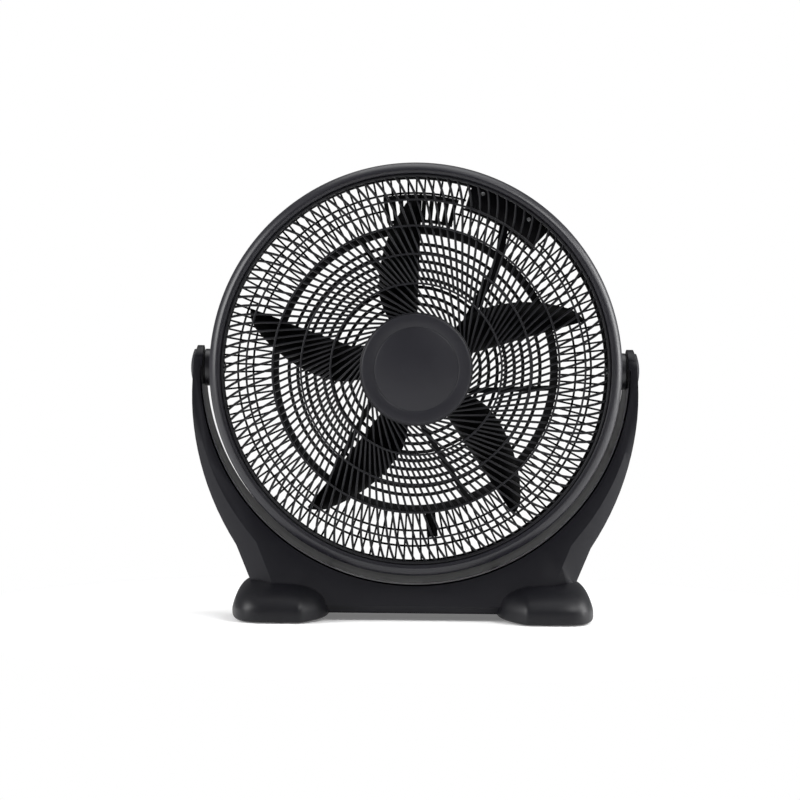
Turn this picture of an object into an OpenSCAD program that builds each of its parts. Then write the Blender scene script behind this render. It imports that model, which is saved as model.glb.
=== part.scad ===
// Round floor fan: a drum head with a swirl guard in front and a ring guard behind,
// held by two side pivots in a U-shaped cradle that stands on two moulded shoes.
// Millimetres, +Z up, air leaves towards -Y, origin on the floor under the middle.

/* [Head] */
// Height of the fan's axis over the floor
axis_z = 315; // [308:1:330]
// Outer radius of the rolled front rim
rim_r = 257; // [250:1:258]
// Half the width of the rolled rim
rim_roll = 7; // [6:0.5:9]
// How far the rim stands proud of the drum wall
rim_proud = 4; // [2:0.5:5]
// Wall of the drum
drum_wall = 3; // [2.5:0.25:4]
// Reach of the rim's crest in front of the pivots
drum_front = 72; // [66:1:76]
// Reach of the drum wall behind the pivots
drum_back = 50; // [44:1:56]

/* [Front guard] */
// Ribs that run from the hub to the rim, with as many shorter ones between them
long_ribs = 58; // [40:1:64]
// Width of a swirl rib
rib_w = 2.6; // [2:0.1:3.2]
// Depth of a swirl rib
rib_depth = 7; // [5:0.5:9]
// Distance at which a rib's straight line passes the fan's axis
swirl_offset = 56; // [40:1:62]
// Radius where the straight part of a rib ends
bend_from_r = 205; // [190:1:215]
// Radius of the rib's outer bend
bend_radius = 125; // [100:5:160]
// Radius of the hub plate
hub_plate_r = 70; // [66:1:76]
// Radius of the ring where the short ribs start
short_rib_r = 106; // [96:1:116]
// How far the hub plate stands in front of the guard's edge
guard_rise = 18; // [12:1:20]
// Width of a guard ring
ring_w = 2.4; // [2:0.1:3]
// Radius of the bare hub cap
cap_r = 68; // [60:0.5:70]
// Thickness of the hub cap
cap_t = 4.5; // [3.5:0.5:6]

/* [Rear guard] */
// Radial ribs round the outside of the rear guard
rear_ribs = 138; // [90:6:144]
// Width of a radial rib
rear_rib_w = 2.4; // [2:0.1:3]
// Depth of the rear guard's bars
rear_bar_depth = 6; // [5:0.5:8]
// Inner radius of the wide ring between the two zones
band_in_r = 176; // [174:1:180]
// Outer radius of the wide ring
band_out_r = 186; // [184:1:190]
// Rings inside the wide ring
inner_rings = 8; // [5:1:9]
// Width of one of those rings
inner_ring_w = 4.2; // [3:0.2:5]
// Struts that carry the motor
struts = 6; // [4:1:8]
// Width of a strut
strut_w = 7; // [5:0.5:9]
// Distance at which a strut's line passes the fan's axis
strut_offset = 30; // [20:1:34]
// Radius of the plate that holds the motor
plate_r = 72; // [70:1:76]

/* [Switch box] */
// Angle at which the box starts, from the right-hand side
box_from = 46.3; // [46:0.1:48]
// Angle that the box takes up
box_span = 27.4; // [26:0.1:28]
// Inner radius of the box
box_in_r = 219; // [216:1:221]
// Depth of the box inside the drum
box_depth = 38; // [34:1:44]
// Diameter of the speed knob
knob_d = 24; // [20:1:26]

/* [Fan blade] */
// Number of blades
blades = 5; // [3:1:6]
// Radius of the blade tips
tip_r = 221; // [200:1:226]
// Radius of the blade hub
hub_r = 56; // [54:1:60]
// Angle that a blade covers at its root
root_span = 30.5; // [24:0.5:34]
// Thickness of a blade at its root
blade_t = 3; // [2:0.25:4]

/* [Motor] */
// Outer radius of the motor
motor_r = 48; // [46:1:49]
// Thickness of the stator stack
stack_t = 26; // [20:1:28]
// Diameter of the shaft
shaft_d = 8; // [7:0.5:9]

/* [Cradle] */
// Inner radius of the cradle's well
well_r = 268; // [268:0.5:270]
// Radius of the cradle's long outer curve
flank_r = 355; // [352:0.5:357]
// Drop of the rail's underside below the axis
rail_drop = 306; // [302:1:306]
// Height of the arms above the pivots, which is the radius of their round ends
lobe_r = 28; // [26:1:30]
// Depth of the cradle at its foot, measured to each side of the pivots
foot_half = 50; // [44:1:54]
// Wall of the cradle's shells
cradle_wall = 2.6; // [2:0.2:3]
// Half the width of the cradle at its feet
leg_x = 204; // [200:1:206]
// Depth of the bevel on the legs' front corners
bevel_depth = 25; // [18:1:30]

/* [Pivots] */
// Diameter of the pivot bolts
bolt_d = 8; // [6:0.5:9]
// Diameter of the collars on the drum
collar_d = 47; // [40:1:50]
// Diameter of the domed caps
pivot_cap_d = 46; // [42:1:50]

/* [Shoes] */
// Depth of a shoe from front to back
shoe_depth = 190; // [180:2:200]
// Distance from the middle to a shoe's outer side
shoe_out = 226.5; // [224:0.5:230]
// Distance from the middle to a shoe's inner side
shoe_in = 103; // [98:1:106]
// Height of a shoe
shoe_h = 56; // [52:1:60]
// Diameter of the rubber pads
pad_d = 24; // [18:1:28]

/* [Hidden] */
$fn = 96;

plastic = "#2b2b2f";
dark_plastic = "#202023";
trim = "#323237";
steel = "#a8abb0";
rubber = "#151515";
copper = "#b06a3a";

fit = 0.3;       // gap between parts that are pushed together
run = 0.05;      // radial gap of a shaft in its bush
eps = 0.01;

// Drum
drum_r = rim_r - rim_proud;
drum_in_r = drum_r - drum_wall;
roll_mid_r = rim_r - rim_roll;
lip_r = rim_r - 2 * rim_roll;
lip_back = drum_front - rim_roll - 9;
ear_r = drum_r + 1;
ear_d = 9;
ears = 8;
ear_hole_d = 3;

// Front guard
edge_out_r = lip_r - fit;
edge_in_r = edge_out_r - 3.5;
edge_front = drum_front - 6;
guard_tilt = atan(guard_rise / (edge_out_r - hub_plate_r));
mean_turn = -25;      // direction in which a rib falls away, from its own line
ring_r = [short_rib_r, short_rib_r + 36.7, short_rib_r + 72, short_rib_r + 104.5];
hub_plate_t = 3;

// Rear guard
back_face = -drum_back - 10;             // front of the rear bars
plate_t = 4;
rear_ring_r = drum_in_r - 3;
band_rise = 0.6;         // of the wide ring over the bars, towards the blades
rib_zone = rear_ring_r - band_out_r;
thin_ring_r = [band_out_r + 0.377 * rib_zone, band_out_r + 0.705 * rib_zone];
strut_angle = 53;
handle_from = 76;
handle_span = 25;
handle_r = [band_out_r + 0.115 * rib_zone, band_out_r + 0.623 * rib_zone];
handle_bar_w = 5.4;

// Switch box
box_out_r = drum_in_r - 4.5;
box_mid = box_from + box_span / 2;
box_mid_r = (box_in_r + box_out_r) / 2;
box_wall = 2;
panel_t = 3;
panel_back = back_face - rear_bar_depth + 1;
panel_front = panel_back + panel_t;
box_front = panel_front + box_depth;
box_screw_at = [box_from + 7.2, box_from + 23.2];
box_screw_r = box_out_r - 4.5;
spindle_d = 6;

// Motor, from the back to the front
motor_back = -drum_back - 28;
stack_back = motor_back + 26;
stack_front = stack_back + stack_t;
motor_front = stack_front + 22;
shell_wall = 2.5;
bush_r = shaft_d / 2 + 4;
bush_len = 10;
rotor_r = 26.5;
flange_r = 60;
mount_screw_r = 55;
bolt_circle_r = motor_r - 5.5;
shaft_back = motor_back + 4;
shaft_front = 56;

// Fan blade
hub_back = motor_front - 4;
hub_front = 42;
hub_wall = 3;
boss_r = shaft_d / 2 + 6;
blade_mid = 19;

// Pivots
arm_in = well_r;
collar_out = arm_in - 1.7;
washer_t = 1.5;
bolt_head_d = 2 * bolt_d;
bolt_head_t = 4;
head_pocket = bolt_head_t + 0.6;
nut_af = 1.625 * bolt_d;
nut_t = 0.8 * bolt_d;
nut_in = drum_in_r - 9;
cap_rise = 8;
cap_edge = 3.6;

// Cradle
flank_x = flank_r - 280.5;
flank_y = -30;
arm_out = arm_x(pivot_cap_d / 2) - 0.2;
face_r = flank_r - 46.5;
face_x = 30;
face_y = -8;
face_leg_x = leg_x - 28.6;
leg_inset = 64;          // from the leg's side to its root in the curve
leg_root = leg_x - leg_inset;
leg_top = 200;           // of the root below the axis
knee_out = 22;           // of the leg's knee beyond its foot
knee_drop = 217;
split = lobe_r - 4;
slope_drop = 250;
bevel_from = 55;
rail_round = 10;
cover_top = lobe_r / 2 - 1;

// Shoes
shoe_lift = 1.5;
shoe_base = 17;         // height of the widest part at the inner end
shoe_waist = 21;        // and at the outer end
shoe_round = 16;
pad_t = 3;

// Shared helpers ------------------------------------------------------------

// Local x is right, y is up from the axis and z points forward, out of the fan.
module in_head() translate([0, 0, axis_z]) rotate([90, 0, 0]) children();

module tube(r_out, r_in, z0, z1) translate([0, 0, z0]) difference() {
    cylinder(r = r_out, h = z1 - z0);
    translate([0, 0, -1]) cylinder(r = r_in, h = z1 - z0 + 2);
}

module disc(r, z0, z1) translate([0, 0, z0]) cylinder(r = r, h = z1 - z0);

module polar(a, r) rotate([0, 0, a]) translate([r, 0, 0]) children();

// A ring segment from angle a0 over the angle a.
module arc_block(r0, r1, a0, a, z0, z1) rotate([0, 0, a0]) rotate_extrude(angle = a)
    translate([r0, z0]) square([r1 - r0, z1 - z0]);

module both_sides() {
    children();
    mirror([1, 0, 0]) children();
}

// Drum ------------------------------------------------------------------------

function arc(cx, cy, r, a0, a1, n) =
    [for (k = [0:n]) let (a = a0 + (a1 - a0) * k / n) [cx + r * cos(a), cy + r * sin(a)]];

module drum_section() {
    roll_y = drum_front - rim_roll;
    t = drum_wall;
    polygon(concat(
        [[drum_in_r, -drum_back], [drum_r, -drum_back], [drum_r, lip_back - rim_proud]],
        [[rim_r, lip_back]],
        arc(roll_mid_r, roll_y, rim_roll, 0, 180, 12),
        [[lip_r, lip_back], [lip_r + t, lip_back]],
        arc(roll_mid_r, roll_y, rim_roll - t, 180, 0, 8),
        [[rim_r - t, lip_back + 1], [drum_in_r, lip_back - rim_proud + 1]]
    ));
}

module drum() color(plastic) in_head() difference() {
    union() {
        rotate_extrude($fn = 180) drum_section();
        for (k = [0:ears - 1]) polar((k + 0.5) * 360 / ears, ear_r)
            disc(ear_d / 2, -drum_back, -drum_back + 22);
        both_sides() rotate([0, 90, 0]) disc(collar_d / 2, drum_in_r - 0.5, collar_out);
        both_sides() rotate([0, 90, 0]) disc(bolt_d + 3, nut_in, drum_in_r + 1);
    }
    for (k = [0:ears - 1]) polar((k + 0.5) * 360 / ears, ear_r)
        disc(ear_hole_d / 2, -drum_back - 1, -drum_back + 18);
    both_sides() rotate([0, 90, 0]) {
        disc(bolt_d / 2 + run, nut_in - 1, collar_out + 1);
        rotate([0, 0, 30]) translate([0, 0, nut_in - 1])
            cylinder(d = (nut_af + 2 * fit) / cos(30), h = nut_t + 1 + fit, $fn = 6);
    }
}

// Front guard -----------------------------------------------------------------

function guard_z(r) = edge_front + guard_rise * (edge_out_r - r) / (edge_out_r - hub_plate_r);

// The rib's middle line: straight past the axis at swirl_offset, then bent outwards.
function rib_line(r0) = let (
    s0 = sqrt(r0 * r0 - swirl_offset * swirl_offset),
    s1 = sqrt(bend_from_r * bend_from_r - swirl_offset * swirl_offset)
) concat([[s0, -swirl_offset, 0]],
    [for (k = [0:5]) let (b = 3.7 * k)
        [s1 + bend_radius * sin(b), -swirl_offset + bend_radius * (1 - cos(b)), b]]);

module swirl_rib(r0) {
    line = rib_line(r0);
    n = len(line);
    left = [for (p = line) [p[0] - rib_w / 2 * sin(p[2]), p[1] + rib_w / 2 * cos(p[2])]];
    right = [for (k = [n - 1:-1:0]) let (p = line[k])
        [p[0] + rib_w / 2 * sin(p[2]), p[1] - rib_w / 2 * cos(p[2])]];
    start_fall = sqrt(r0 * r0 - swirl_offset * swirl_offset) * cos(mean_turn)
        - swirl_offset * sin(mean_turn);
    translate([0, 0, guard_z(r0) + start_fall * sin(guard_tilt) - rib_depth])
        rotate([0, 0, mean_turn]) rotate([0, guard_tilt, 0]) rotate([0, 0, -mean_turn])
            linear_extrude(rib_depth) polygon(concat(left, right));
}

module front_grille() color(dark_plastic) in_head() {
    intersection() {
        for (k = [0:long_ribs - 1]) rotate([0, 0, 360 * k / long_ribs]) {
            swirl_rib(hub_plate_r - 1);
            rotate([0, 0, 180 / long_ribs]) swirl_rib(short_rib_r);
        }
        disc((edge_in_r + edge_out_r) / 2, 0, drum_front + 30);
    }
    for (r = ring_r) tube(r + ring_w / 2, r - ring_w / 2, guard_z(r) - 5.5, guard_z(r) - 1);
    tube(edge_out_r, edge_in_r, lip_back + 1, edge_front);
    disc(hub_plate_r, guard_z(hub_plate_r) - rib_depth + 1, guard_z(hub_plate_r) - 1);
    for (k = [0:5]) rotate([0, 0, 60 * k + 30]) {
        arc_block(edge_in_r + 0.6, edge_out_r - 0.4, -2, 4, lip_back - 3, lip_back + 4);
        arc_block(edge_in_r + 1.4, lip_r + 2.5, -1.8, 3.6, lip_back - 4, lip_back - fit);
    }
}

module hub_cap() color(trim) in_head() {
    z0 = guard_z(hub_plate_r) - 1;
    rotate_extrude() polygon(concat(
        [[0, z0], [cap_r, z0]],
        arc(cap_r - 2.5, z0 + cap_t - 2.5, 2.5, 0, 90, 5),
        [[cap_r * 0.775, z0 + cap_t], [cap_r * 0.765, z0 + cap_t - 0.8],
         [cap_r * 0.745, z0 + cap_t - 0.8], [cap_r * 0.735, z0 + cap_t], [0, z0 + cap_t]]
    ));
}

// Rear guard --------------------------------------------------------------------

module radial_rib(r_end, w) rotate([90, 0, 0]) linear_extrude(w, center = true)
    polygon(r_end < rear_ring_r
        ? [[band_out_r - 2, back_face], [r_end, back_face],
           [r_end, back_face - rear_bar_depth], [band_out_r - 2, back_face - rear_bar_depth]]
        : [[band_out_r - 2, back_face], [r_end - 12, back_face],
           [r_end + 1, -drum_back - 1], [r_end + 1, -drum_back - 6],
           [r_end - 10, back_face - rear_bar_depth],
           [band_out_r - 2, back_face - rear_bar_depth]]);

function in_box(a) = a > box_from && a < box_from + box_span;
function in_handle(a) = a > handle_from && a < handle_from + handle_span;

// A bar beside the axis, from radius r0 to radius r1, that ends at angle a.
module strut(r0, r1, a, off, w, z0, z1) {
    s0 = sqrt(r0 * r0 - off * off);
    s1 = sqrt(r1 * r1 - off * off);
    rotate([0, 0, a + atan2(off, s1)]) translate([s0, -off - w / 2, z0])
        cube([s1 - s0, w, z1 - z0]);
}

module rear_grille() color(dark_plastic) in_head() difference() {
    z1 = back_face;
    z0 = back_face - rear_bar_depth;
    pitch = (band_in_r - plate_r - inner_ring_w) / (inner_rings + 1);
    union() {
        for (k = [0:rear_ribs - 1]) let (a = 360 * (k + 0.5) / rear_ribs) rotate([0, 0, a]) {
            radial_rib(in_box(a) ? box_in_r - 1 : rear_ring_r, rear_rib_w);
            if (in_handle(a)) translate([handle_r[0], -handle_bar_w / 2, z0 - 1.5])
                cube([handle_r[1] - handle_r[0], handle_bar_w, rear_bar_depth + 1.2]);
        }
        tube(drum_r, rear_ring_r - 1, -drum_back - 6.5, -drum_back - fit);
        tube(band_out_r, band_in_r, z0 - 1, z1 + band_rise);
        difference() {
            arc_block(thin_ring_r[0] - ring_w / 2, thin_ring_r[0] + ring_w / 2,
                handle_from + handle_span, 360 - handle_span, z0 + 0.6, z1 - 0.6);
            arc_block(box_in_r - 1, rear_ring_r, box_from, box_span, z0, z1);
        }
        arc_block(thin_ring_r[1] - ring_w / 2, thin_ring_r[1] + ring_w / 2,
            box_from + box_span, 360 - box_span, z0 + 0.6, z1 - 0.6);
        arc_block(handle_r[0] - 2, handle_r[0] + 2, handle_from, handle_span, z0 - 2, z1 + 0.3);
        arc_block(handle_r[1] - 3, handle_r[1] + 3, handle_from, handle_span, z0 - 2, z1 + 0.3);
        for (k = [1:inner_rings]) let (r = plate_r + pitch * k)
            tube(r + inner_ring_w, r, z0 + 1, z1 - 0.8);
        for (k = [0:struts - 1])
            strut(plate_r - 1.6, band_in_r + 3, strut_angle + 360 * k / struts, strut_offset,
                strut_w, z0 - 2, z1 - 0.3);
        tube(plate_r, motor_r + 1.5, z1 - plate_t, z1);
        // bar under the switch box
        arc_block(box_in_r - 2.5, box_in_r, box_from - 0.4, box_span + 0.8, z0 - 0.3, z1 + 0.3);
        // ears for the screws into the drum, and a pad at the bottom
        for (k = [0:ears - 1]) polar((k + 0.5) * 360 / ears, ear_r)
            disc(ear_d / 2, -drum_back - 7, -drum_back);
        rotate([0, 0, -83]) translate([band_out_r - 4, -6, z0 - 0.5])
            cube([36, 12, rear_bar_depth + 0.8]);
    }
    for (k = [0:ears - 1]) polar((k + 0.5) * 360 / ears, ear_r)
        disc(ear_hole_d / 2 + fit, -drum_back - 8, -drum_back + 1);
    for (k = [0:3]) polar(90 * k + 45, mount_screw_r)
        disc(2.1, z1 - plate_t - 1, z1 + 1);
    for (k = [0:2]) polar(120 * k + 90, plate_r - 7)
        disc(1.5, z1 - plate_t - 1, z1 + 1);
}

module screw(d, len, head_d, head_t) {
    cylinder(d = d, h = len, $fn = 24);
    translate([0, 0, -head_t]) difference() {
        cylinder(d = head_d, h = head_t, $fn = 32);
        translate([0, 0, -1]) for (a = [0, 90]) rotate([0, 0, a])
            translate([-head_d * 0.3, -head_d * 0.06, 0])
                cube([head_d * 0.6, head_d * 0.12, head_t * 0.4 + 1]);
    }
}

module rear_grille_screws() color(steel) in_head()
    for (k = [0:ears - 1]) polar((k + 0.5) * 360 / ears, ear_r)
        translate([0, 0, -drum_back - 7]) screw(ear_hole_d - 0.1, 21, 6.4, 2.2);

// Switch box ----------------------------------------------------------------------

module switch_box() color(plastic) in_head() difference() {
    union() {
        difference() {
            arc_block(box_in_r + fit, box_out_r, box_from + 0.4, box_span - 0.8,
                panel_front, box_front);
            arc_block(box_in_r + fit + box_wall, box_out_r - box_wall, box_from + 1,
                box_span - 2, panel_front - 1, box_front - box_wall);
        }
        for (a = box_screw_at) polar(a, box_screw_r) disc(3.5, panel_front + 0.5, box_front - 1);
    }
    for (a = box_screw_at) polar(a, box_screw_r)
        disc(1.5 + run, panel_front - 1, box_front + 1);
    rotate([0, 0, lead_angle]) translate([box_in_r - 2, -3.9, back_face + 1.4])
        cube([6, 7.8, 6.7]);
}

module control_panel() color(plastic) in_head() difference() {
    union() {
        arc_block(box_in_r + fit, box_out_r, box_from + 0.4, box_span - 0.8,
            panel_back, panel_front);
        polar(box_mid, box_mid_r) disc(knob_d / 2 + 0.5, panel_back - 1, panel_back);
    }
    polar(box_mid, box_mid_r) disc(4.6, panel_back - 2, panel_front + 1);
    polar(gland_at, box_mid_r) disc(5 + run, panel_back - 1, panel_front + 1);
    for (a = box_screw_at) polar(a, box_screw_r) disc(1.25, panel_back + 1, panel_front + 1);
}

gland_at = box_from + box_span - 4.5;

module switch_box_screws() color(steel) in_head() for (a = box_screw_at)
    polar(a, box_screw_r) translate([0, 0, box_front]) rotate([180, 0, 0])
        screw(2.4, box_depth + 1.5, 5, 1.6);

module rotary_switch() color(trim) in_head() polar(box_mid, box_mid_r) difference() {
    union() {
        rotate([0, 0, 45]) translate([-7, -7, panel_front + fit]) cube([14, 14, 16]);
        disc(4.5, panel_back + 0.5, panel_front + 1);
    }
    disc(spindle_d / 2 + run, panel_back - 1, panel_front + 12);
}

module switch_spindle() color(steel) in_head() polar(box_mid, box_mid_r)
    disc(spindle_d / 2, panel_back - 10, panel_front + 11);

module speed_knob() color(trim) in_head() polar(box_mid, box_mid_r) difference() {
    z1 = panel_back - 1 - fit;
    union() {
        rotate_extrude() polygon([[0, z1 - 12], [knob_d / 2 - 3, z1 - 12],
            [knob_d / 2 - 1.5, z1 - 11], [knob_d / 2 - 1, z1 - 2.5], [knob_d / 2, z1 - 2],
            [knob_d / 2, z1], [0, z1]]);
        translate([-knob_d / 2 + 1.5, -1.5, z1 - 15]) cube([knob_d - 3, 3, 6]);
    }
    disc(spindle_d / 2 + run, panel_back - 10 - fit, z1 + 1);
}

module capacitor() color("#3d3f45") in_head() polar(box_from + 4.6, box_mid_r + 0.4)
    translate([-6, -5, panel_front + fit]) cube([12, 11, 22]);

module cord_gland() color(rubber) in_head() polar(gland_at, box_mid_r) difference() {
    union() {
        disc(5, panel_back, panel_front);
        disc(7, panel_back - 3, panel_back);
        translate([0, 0, panel_back - 12]) cylinder(r1 = 4.4, r2 = 5.6, h = 9.2);
    }
    disc(3, panel_back - 13, panel_front + 1);
}

// The lead's way from the switch box to the motor, in front of the struts.
lead_bend = [108, 142.5];
lead_in_at = 58.85;      // where it enters the box's inner wall
lead_box = (box_in_r - 0.5) * [cos(lead_in_at), sin(lead_in_at)];
lead_motor = [61.2, 51.8];
lead_angle = atan2(lead_box[1] + 1, lead_box[0] + 0.2);

// A band of width w along a way with one bend, drawn past its ends by more.
function lead_band(w, more) = let (
    u = (lead_bend - lead_motor) / norm(lead_bend - lead_motor),
    v = (lead_box - lead_bend) / norm(lead_box - lead_bend),
    n = [-u[1], u[0]],
    m = [-v[1], v[0]],
    mitre = (n + m) / (1 + n * m),
    p = lead_motor - u * more,
    q = lead_box + v * more
) [p + n * w / 2, lead_bend + mitre * w / 2, q + m * w / 2,
   q - m * w / 2, lead_bend - mitre * w / 2, p - n * w / 2];

module lead_conduit() color(plastic) in_head() translate([0, 0, back_face + band_rise + run])
    intersection() {
        difference() {
            linear_extrude(8.6) polygon(lead_band(11, 0));
            translate([0, 0, -1]) linear_extrude(8) polygon(lead_band(7.8, 1));
        }
        disc(box_in_r - 0.2, -2, 20);
    }

module lead_run(p, q) translate([p[0], p[1], 0]) let (d = q - p)
    rotate([0, 0, atan2(d[1], d[0])]) rotate([0, 90, 0]) cylinder(d = 5, h = norm(d), $fn = 32);

module motor_lead() color("#1b1b1b") in_head() translate([0, 0, back_face + 4.6]) {
    lead_run(lead_motor - (lead_bend - lead_motor) * 0.18, lead_bend);
    lead_run(lead_bend, lead_box + [0.8, 4]);
    translate([lead_bend[0], lead_bend[1], 0]) sphere(d = 5.8, $fn = 32);
}

// Motor --------------------------------------------------------------------------

module motor_rear_shell() color("#8d9095") in_head() difference() {
    union() {
        disc(motor_r, motor_back, stack_back);
        tube(flange_r, motor_r - 1, back_face, back_face + 3);
    }
    disc(motor_r - shell_wall, motor_back + shell_wall, stack_back + 1);
    disc(bush_r, motor_back - 1, stack_back);
    for (k = [0:3]) polar(90 * k + 45, mount_screw_r) disc(2.1, back_face - 1, back_face + 4);
    for (k = [0:3]) polar(90 * k, bolt_circle_r) disc(2, motor_back - 1, motor_back + 4);
}

module bush_seat(z0, z1) tube(bush_r + 3, bush_r, z0, z1);

module motor_front_shell() color("#8d9095") in_head() difference() {
    disc(motor_r, stack_front, motor_front);
    disc(motor_r - shell_wall, stack_front - 1, motor_front - shell_wall);
    disc(bush_r, stack_front, motor_front + 1);
    for (k = [0:3]) polar(90 * k, bolt_circle_r) disc(2, motor_front - 4, motor_front + 1);
    for (k = [0:7]) polar(45 * k + 22.5, motor_r - 18) disc(4, motor_front - 4, motor_front + 1);
}

module rear_bearing() color("#c4a35a") in_head() difference() {
    union() {
        disc(bush_r - 0.02, motor_back + 0.2, motor_back + bush_len);
        disc(bush_r + 2.5, motor_back + shell_wall, motor_back + shell_wall + 2);
    }
    disc(shaft_d / 2 + run, motor_back - 1, motor_back + bush_len + 1);
}

module front_bearing() color("#c4a35a") in_head() difference() {
    union() {
        disc(bush_r - 0.02, motor_front - bush_len, motor_front - 0.2);
        disc(bush_r + 2.5, motor_front - shell_wall - 2, motor_front - shell_wall);
    }
    disc(shaft_d / 2 + run, motor_front - bush_len - 1, motor_front + 1);
}

module stator() color("#6f7276") in_head() difference() {
    disc(motor_r, stack_back, stack_front);
    disc(rotor_r + 0.5, stack_back - 1, stack_front + 1);
    for (k = [0:7]) polar(45 * k + 22.5, 33.5) disc(4, stack_back - 1, stack_front + 1);
    for (k = [0:3]) polar(90 * k, bolt_circle_r) disc(2, stack_back - 1, stack_front + 1);
}

module windings() color(copper) in_head() {
    for (z = [[stack_back - 9, stack_back], [stack_front, stack_front + 9]])
        tube(38, 29.5, z[0], z[1]);
    for (k = [0:7]) polar(45 * k + 22.5, 33.5) disc(3.7, stack_back - 1, stack_front + 1);
}

module motor_bolts() color(steel) in_head() for (k = [0:3]) polar(90 * k, bolt_circle_r)
    translate([0, 0, motor_back]) screw(3.9, motor_front - motor_back - 0.5, 7, 2.4);

module motor_mount_screws() color(steel) in_head() for (k = [0:3])
    polar(90 * k + 45, mount_screw_r) translate([0, 0, back_face + 3]) rotate([180, 0, 0])
        screw(4, plate_t + 2.7, 7.5, 2.4);

module motor_cover() color(plastic) in_head() difference() {
    z1 = back_face - plate_t;
    z0 = motor_back - 12;
    union() {
        rotate_extrude() polygon(concat(
            [[motor_r + 4, z1], [plate_r - 3.5, z1], [plate_r - 3.5, z1 - 3], [motor_r + 13, z1 - 3]],
            arc(motor_r + 3, z0 + 10, 10, 0, -90, 8),
            [[0, z0], [0, z0 + 2.2], [motor_r + 3, z0 + 2.2]],
            arc(motor_r + 3, z0 + 10, 7.8, -90, 0, 8),
            [[motor_r + 10.8, z1 - 3]]
        ));
    }
    for (k = [0:2]) polar(120 * k + 90, plate_r - 7) disc(1.5 + fit, z1 - 4, z1 + 1);
    for (k = [0:23]) rotate([0, 0, 15 * k]) translate([22, -1.6, z0 - 1]) cube([24, 3.2, 5]);
}

module motor_cover_screws() color(steel) in_head() for (k = [0:2])
    polar(120 * k + 90, plate_r - 7) translate([0, 0, back_face - plate_t - 3])
        screw(2.9, 6.5, 5.8, 2);

// Rotor ----------------------------------------------------------------------------

module motor_shaft() color(steel) in_head() difference() {
    disc(shaft_d / 2, shaft_back, shaft_front);
    translate([0, 0, hub_back + 8]) rotate([0, 90, 0]) translate([0, 0, -20])
        cylinder(d = 3, h = 40, $fn = 32);
}

module rotor_core() color("#7d8085") in_head()
    tube(rotor_r, shaft_d / 2 + 0.02, stack_back - 1, stack_front + 1);

function span_at(r) = let (
    taper = (root_span - 3) / (tip_r - 93),
    plain = min(root_span, root_span - taper * (r - 93)),
    t = max(0, (r - (tip_r - 12)) / 12.2)
) plain * sqrt(1 - t * t);

function pitch_at(r) = 46 - 24 * (r - hub_r) / (tip_r - hub_r);

// A point on the blade: r outwards, u from the trailing to the leading edge,
// side +1 or -1 for its two faces.
function blade_point(r, u, side) = let (
    span = span_at(r),
    a = span * (0.5 - u) + (root_span - span) / -2,
    chord = r * span * PI / 180,
    axial = (0.5 - u) * chord * tan(pitch_at(r)),
    camber = 0.10 * chord * (1 - pow(2 * u - 1, 2)),
    half = side * blade_t * (1 - 0.35 * (r - hub_r) / (tip_r - hub_r)) / 2
        * sqrt(max(0.12, 1 - pow(2 * u - 1, 2)))
) [r * cos(a), r * sin(a), blade_mid + axial + camber + half];

module blade() {
    nr = 13;
    nu = 8;
    r_at = [for (k = [0:nr]) k < nr - 3
        ? hub_r - 2 + (tip_r - 12 - hub_r + 2) * k / (nr - 3)
        : tip_r - 12 + 12 * sin(90 * (k - nr + 3) / 3)];
    ring = 2 * (nu + 1);
    pts = [for (r = r_at) each concat(
        [for (j = [0:nu]) blade_point(r, j / nu, 1)],
        [for (j = [nu:-1:0]) blade_point(r, j / nu, -1)])];
    polyhedron(pts, concat(
        [for (k = [0:nr - 1], j = [0:ring - 1]) let (
            a = k * ring + j, b = k * ring + (j + 1) % ring)
            each [[a, b + ring, b], [a, a + ring, b + ring]]],
        [[for (j = [0:ring - 1]) j]],
        [[for (j = [ring - 1:-1:0]) nr * ring + j]]
    ));
}

module fan_blade() color("#161618") in_head() difference() {
    union() {
        rotate_extrude() polygon([[shaft_d / 2 + run, hub_back + 6], [boss_r, hub_back + 6],
            [boss_r, hub_front - 4], [hub_r - hub_wall, hub_front - 4],
            [hub_r - hub_wall, hub_back], [hub_r, hub_back], [hub_r, hub_front - 2],
            [hub_r - 2, hub_front], [shaft_d / 2 + run, hub_front]]);
        for (k = [0:blades - 1]) rotate([0, 0, 16.5 + root_span / 2 + 360 * k / blades]) blade();
    }
    translate([-boss_r - 1, -1.6, hub_back + 5]) cube([2 * boss_r + 2, 3.2, 4.6]);
}

module blade_pin() color(steel) in_head() translate([-boss_r + 0.5, 0, hub_back + 8])
    rotate([0, 90, 0]) cylinder(d = 2.9, h = 2 * boss_r - 1, $fn = 32);

module blade_nut() color(trim) in_head() difference() {
    union() {
        disc(11, hub_front, hub_front + 3);
        disc(8.5, hub_front, hub_front + 17);
        for (k = [0:5]) rotate([0, 0, 60 * k]) translate([6, -1.5, hub_front + 1])
            cube([4.3, 3, 13]);
    }
    disc(shaft_d / 2 + run, hub_front - 1, shaft_front + 0.5);
}

// Pivots ---------------------------------------------------------------------------

// Outer face of the arms at height y over the pivots.
function arm_x(y) = sqrt(pow(flank_r, 2) - pow(y - flank_y, 2)) - flank_x;

module pivot_bolt() in_head() rotate([0, 90, 0]) {
    disc(bolt_d / 2, nut_in - 1, arm_out - head_pocket + 0.3);
    difference() {
        disc(bolt_head_d / 2, arm_out - head_pocket + 0.3, arm_out - head_pocket + 0.3 + bolt_head_t);
        translate([0, 0, arm_out - head_pocket + 0.3 + bolt_head_t / 2])
            cylinder(d = bolt_d * 0.8, h = bolt_head_t, $fn = 6);
    }
}

module pivot_bolt_right() color(steel) pivot_bolt();
module pivot_bolt_left() color(steel) mirror([1, 0, 0]) pivot_bolt();

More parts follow.
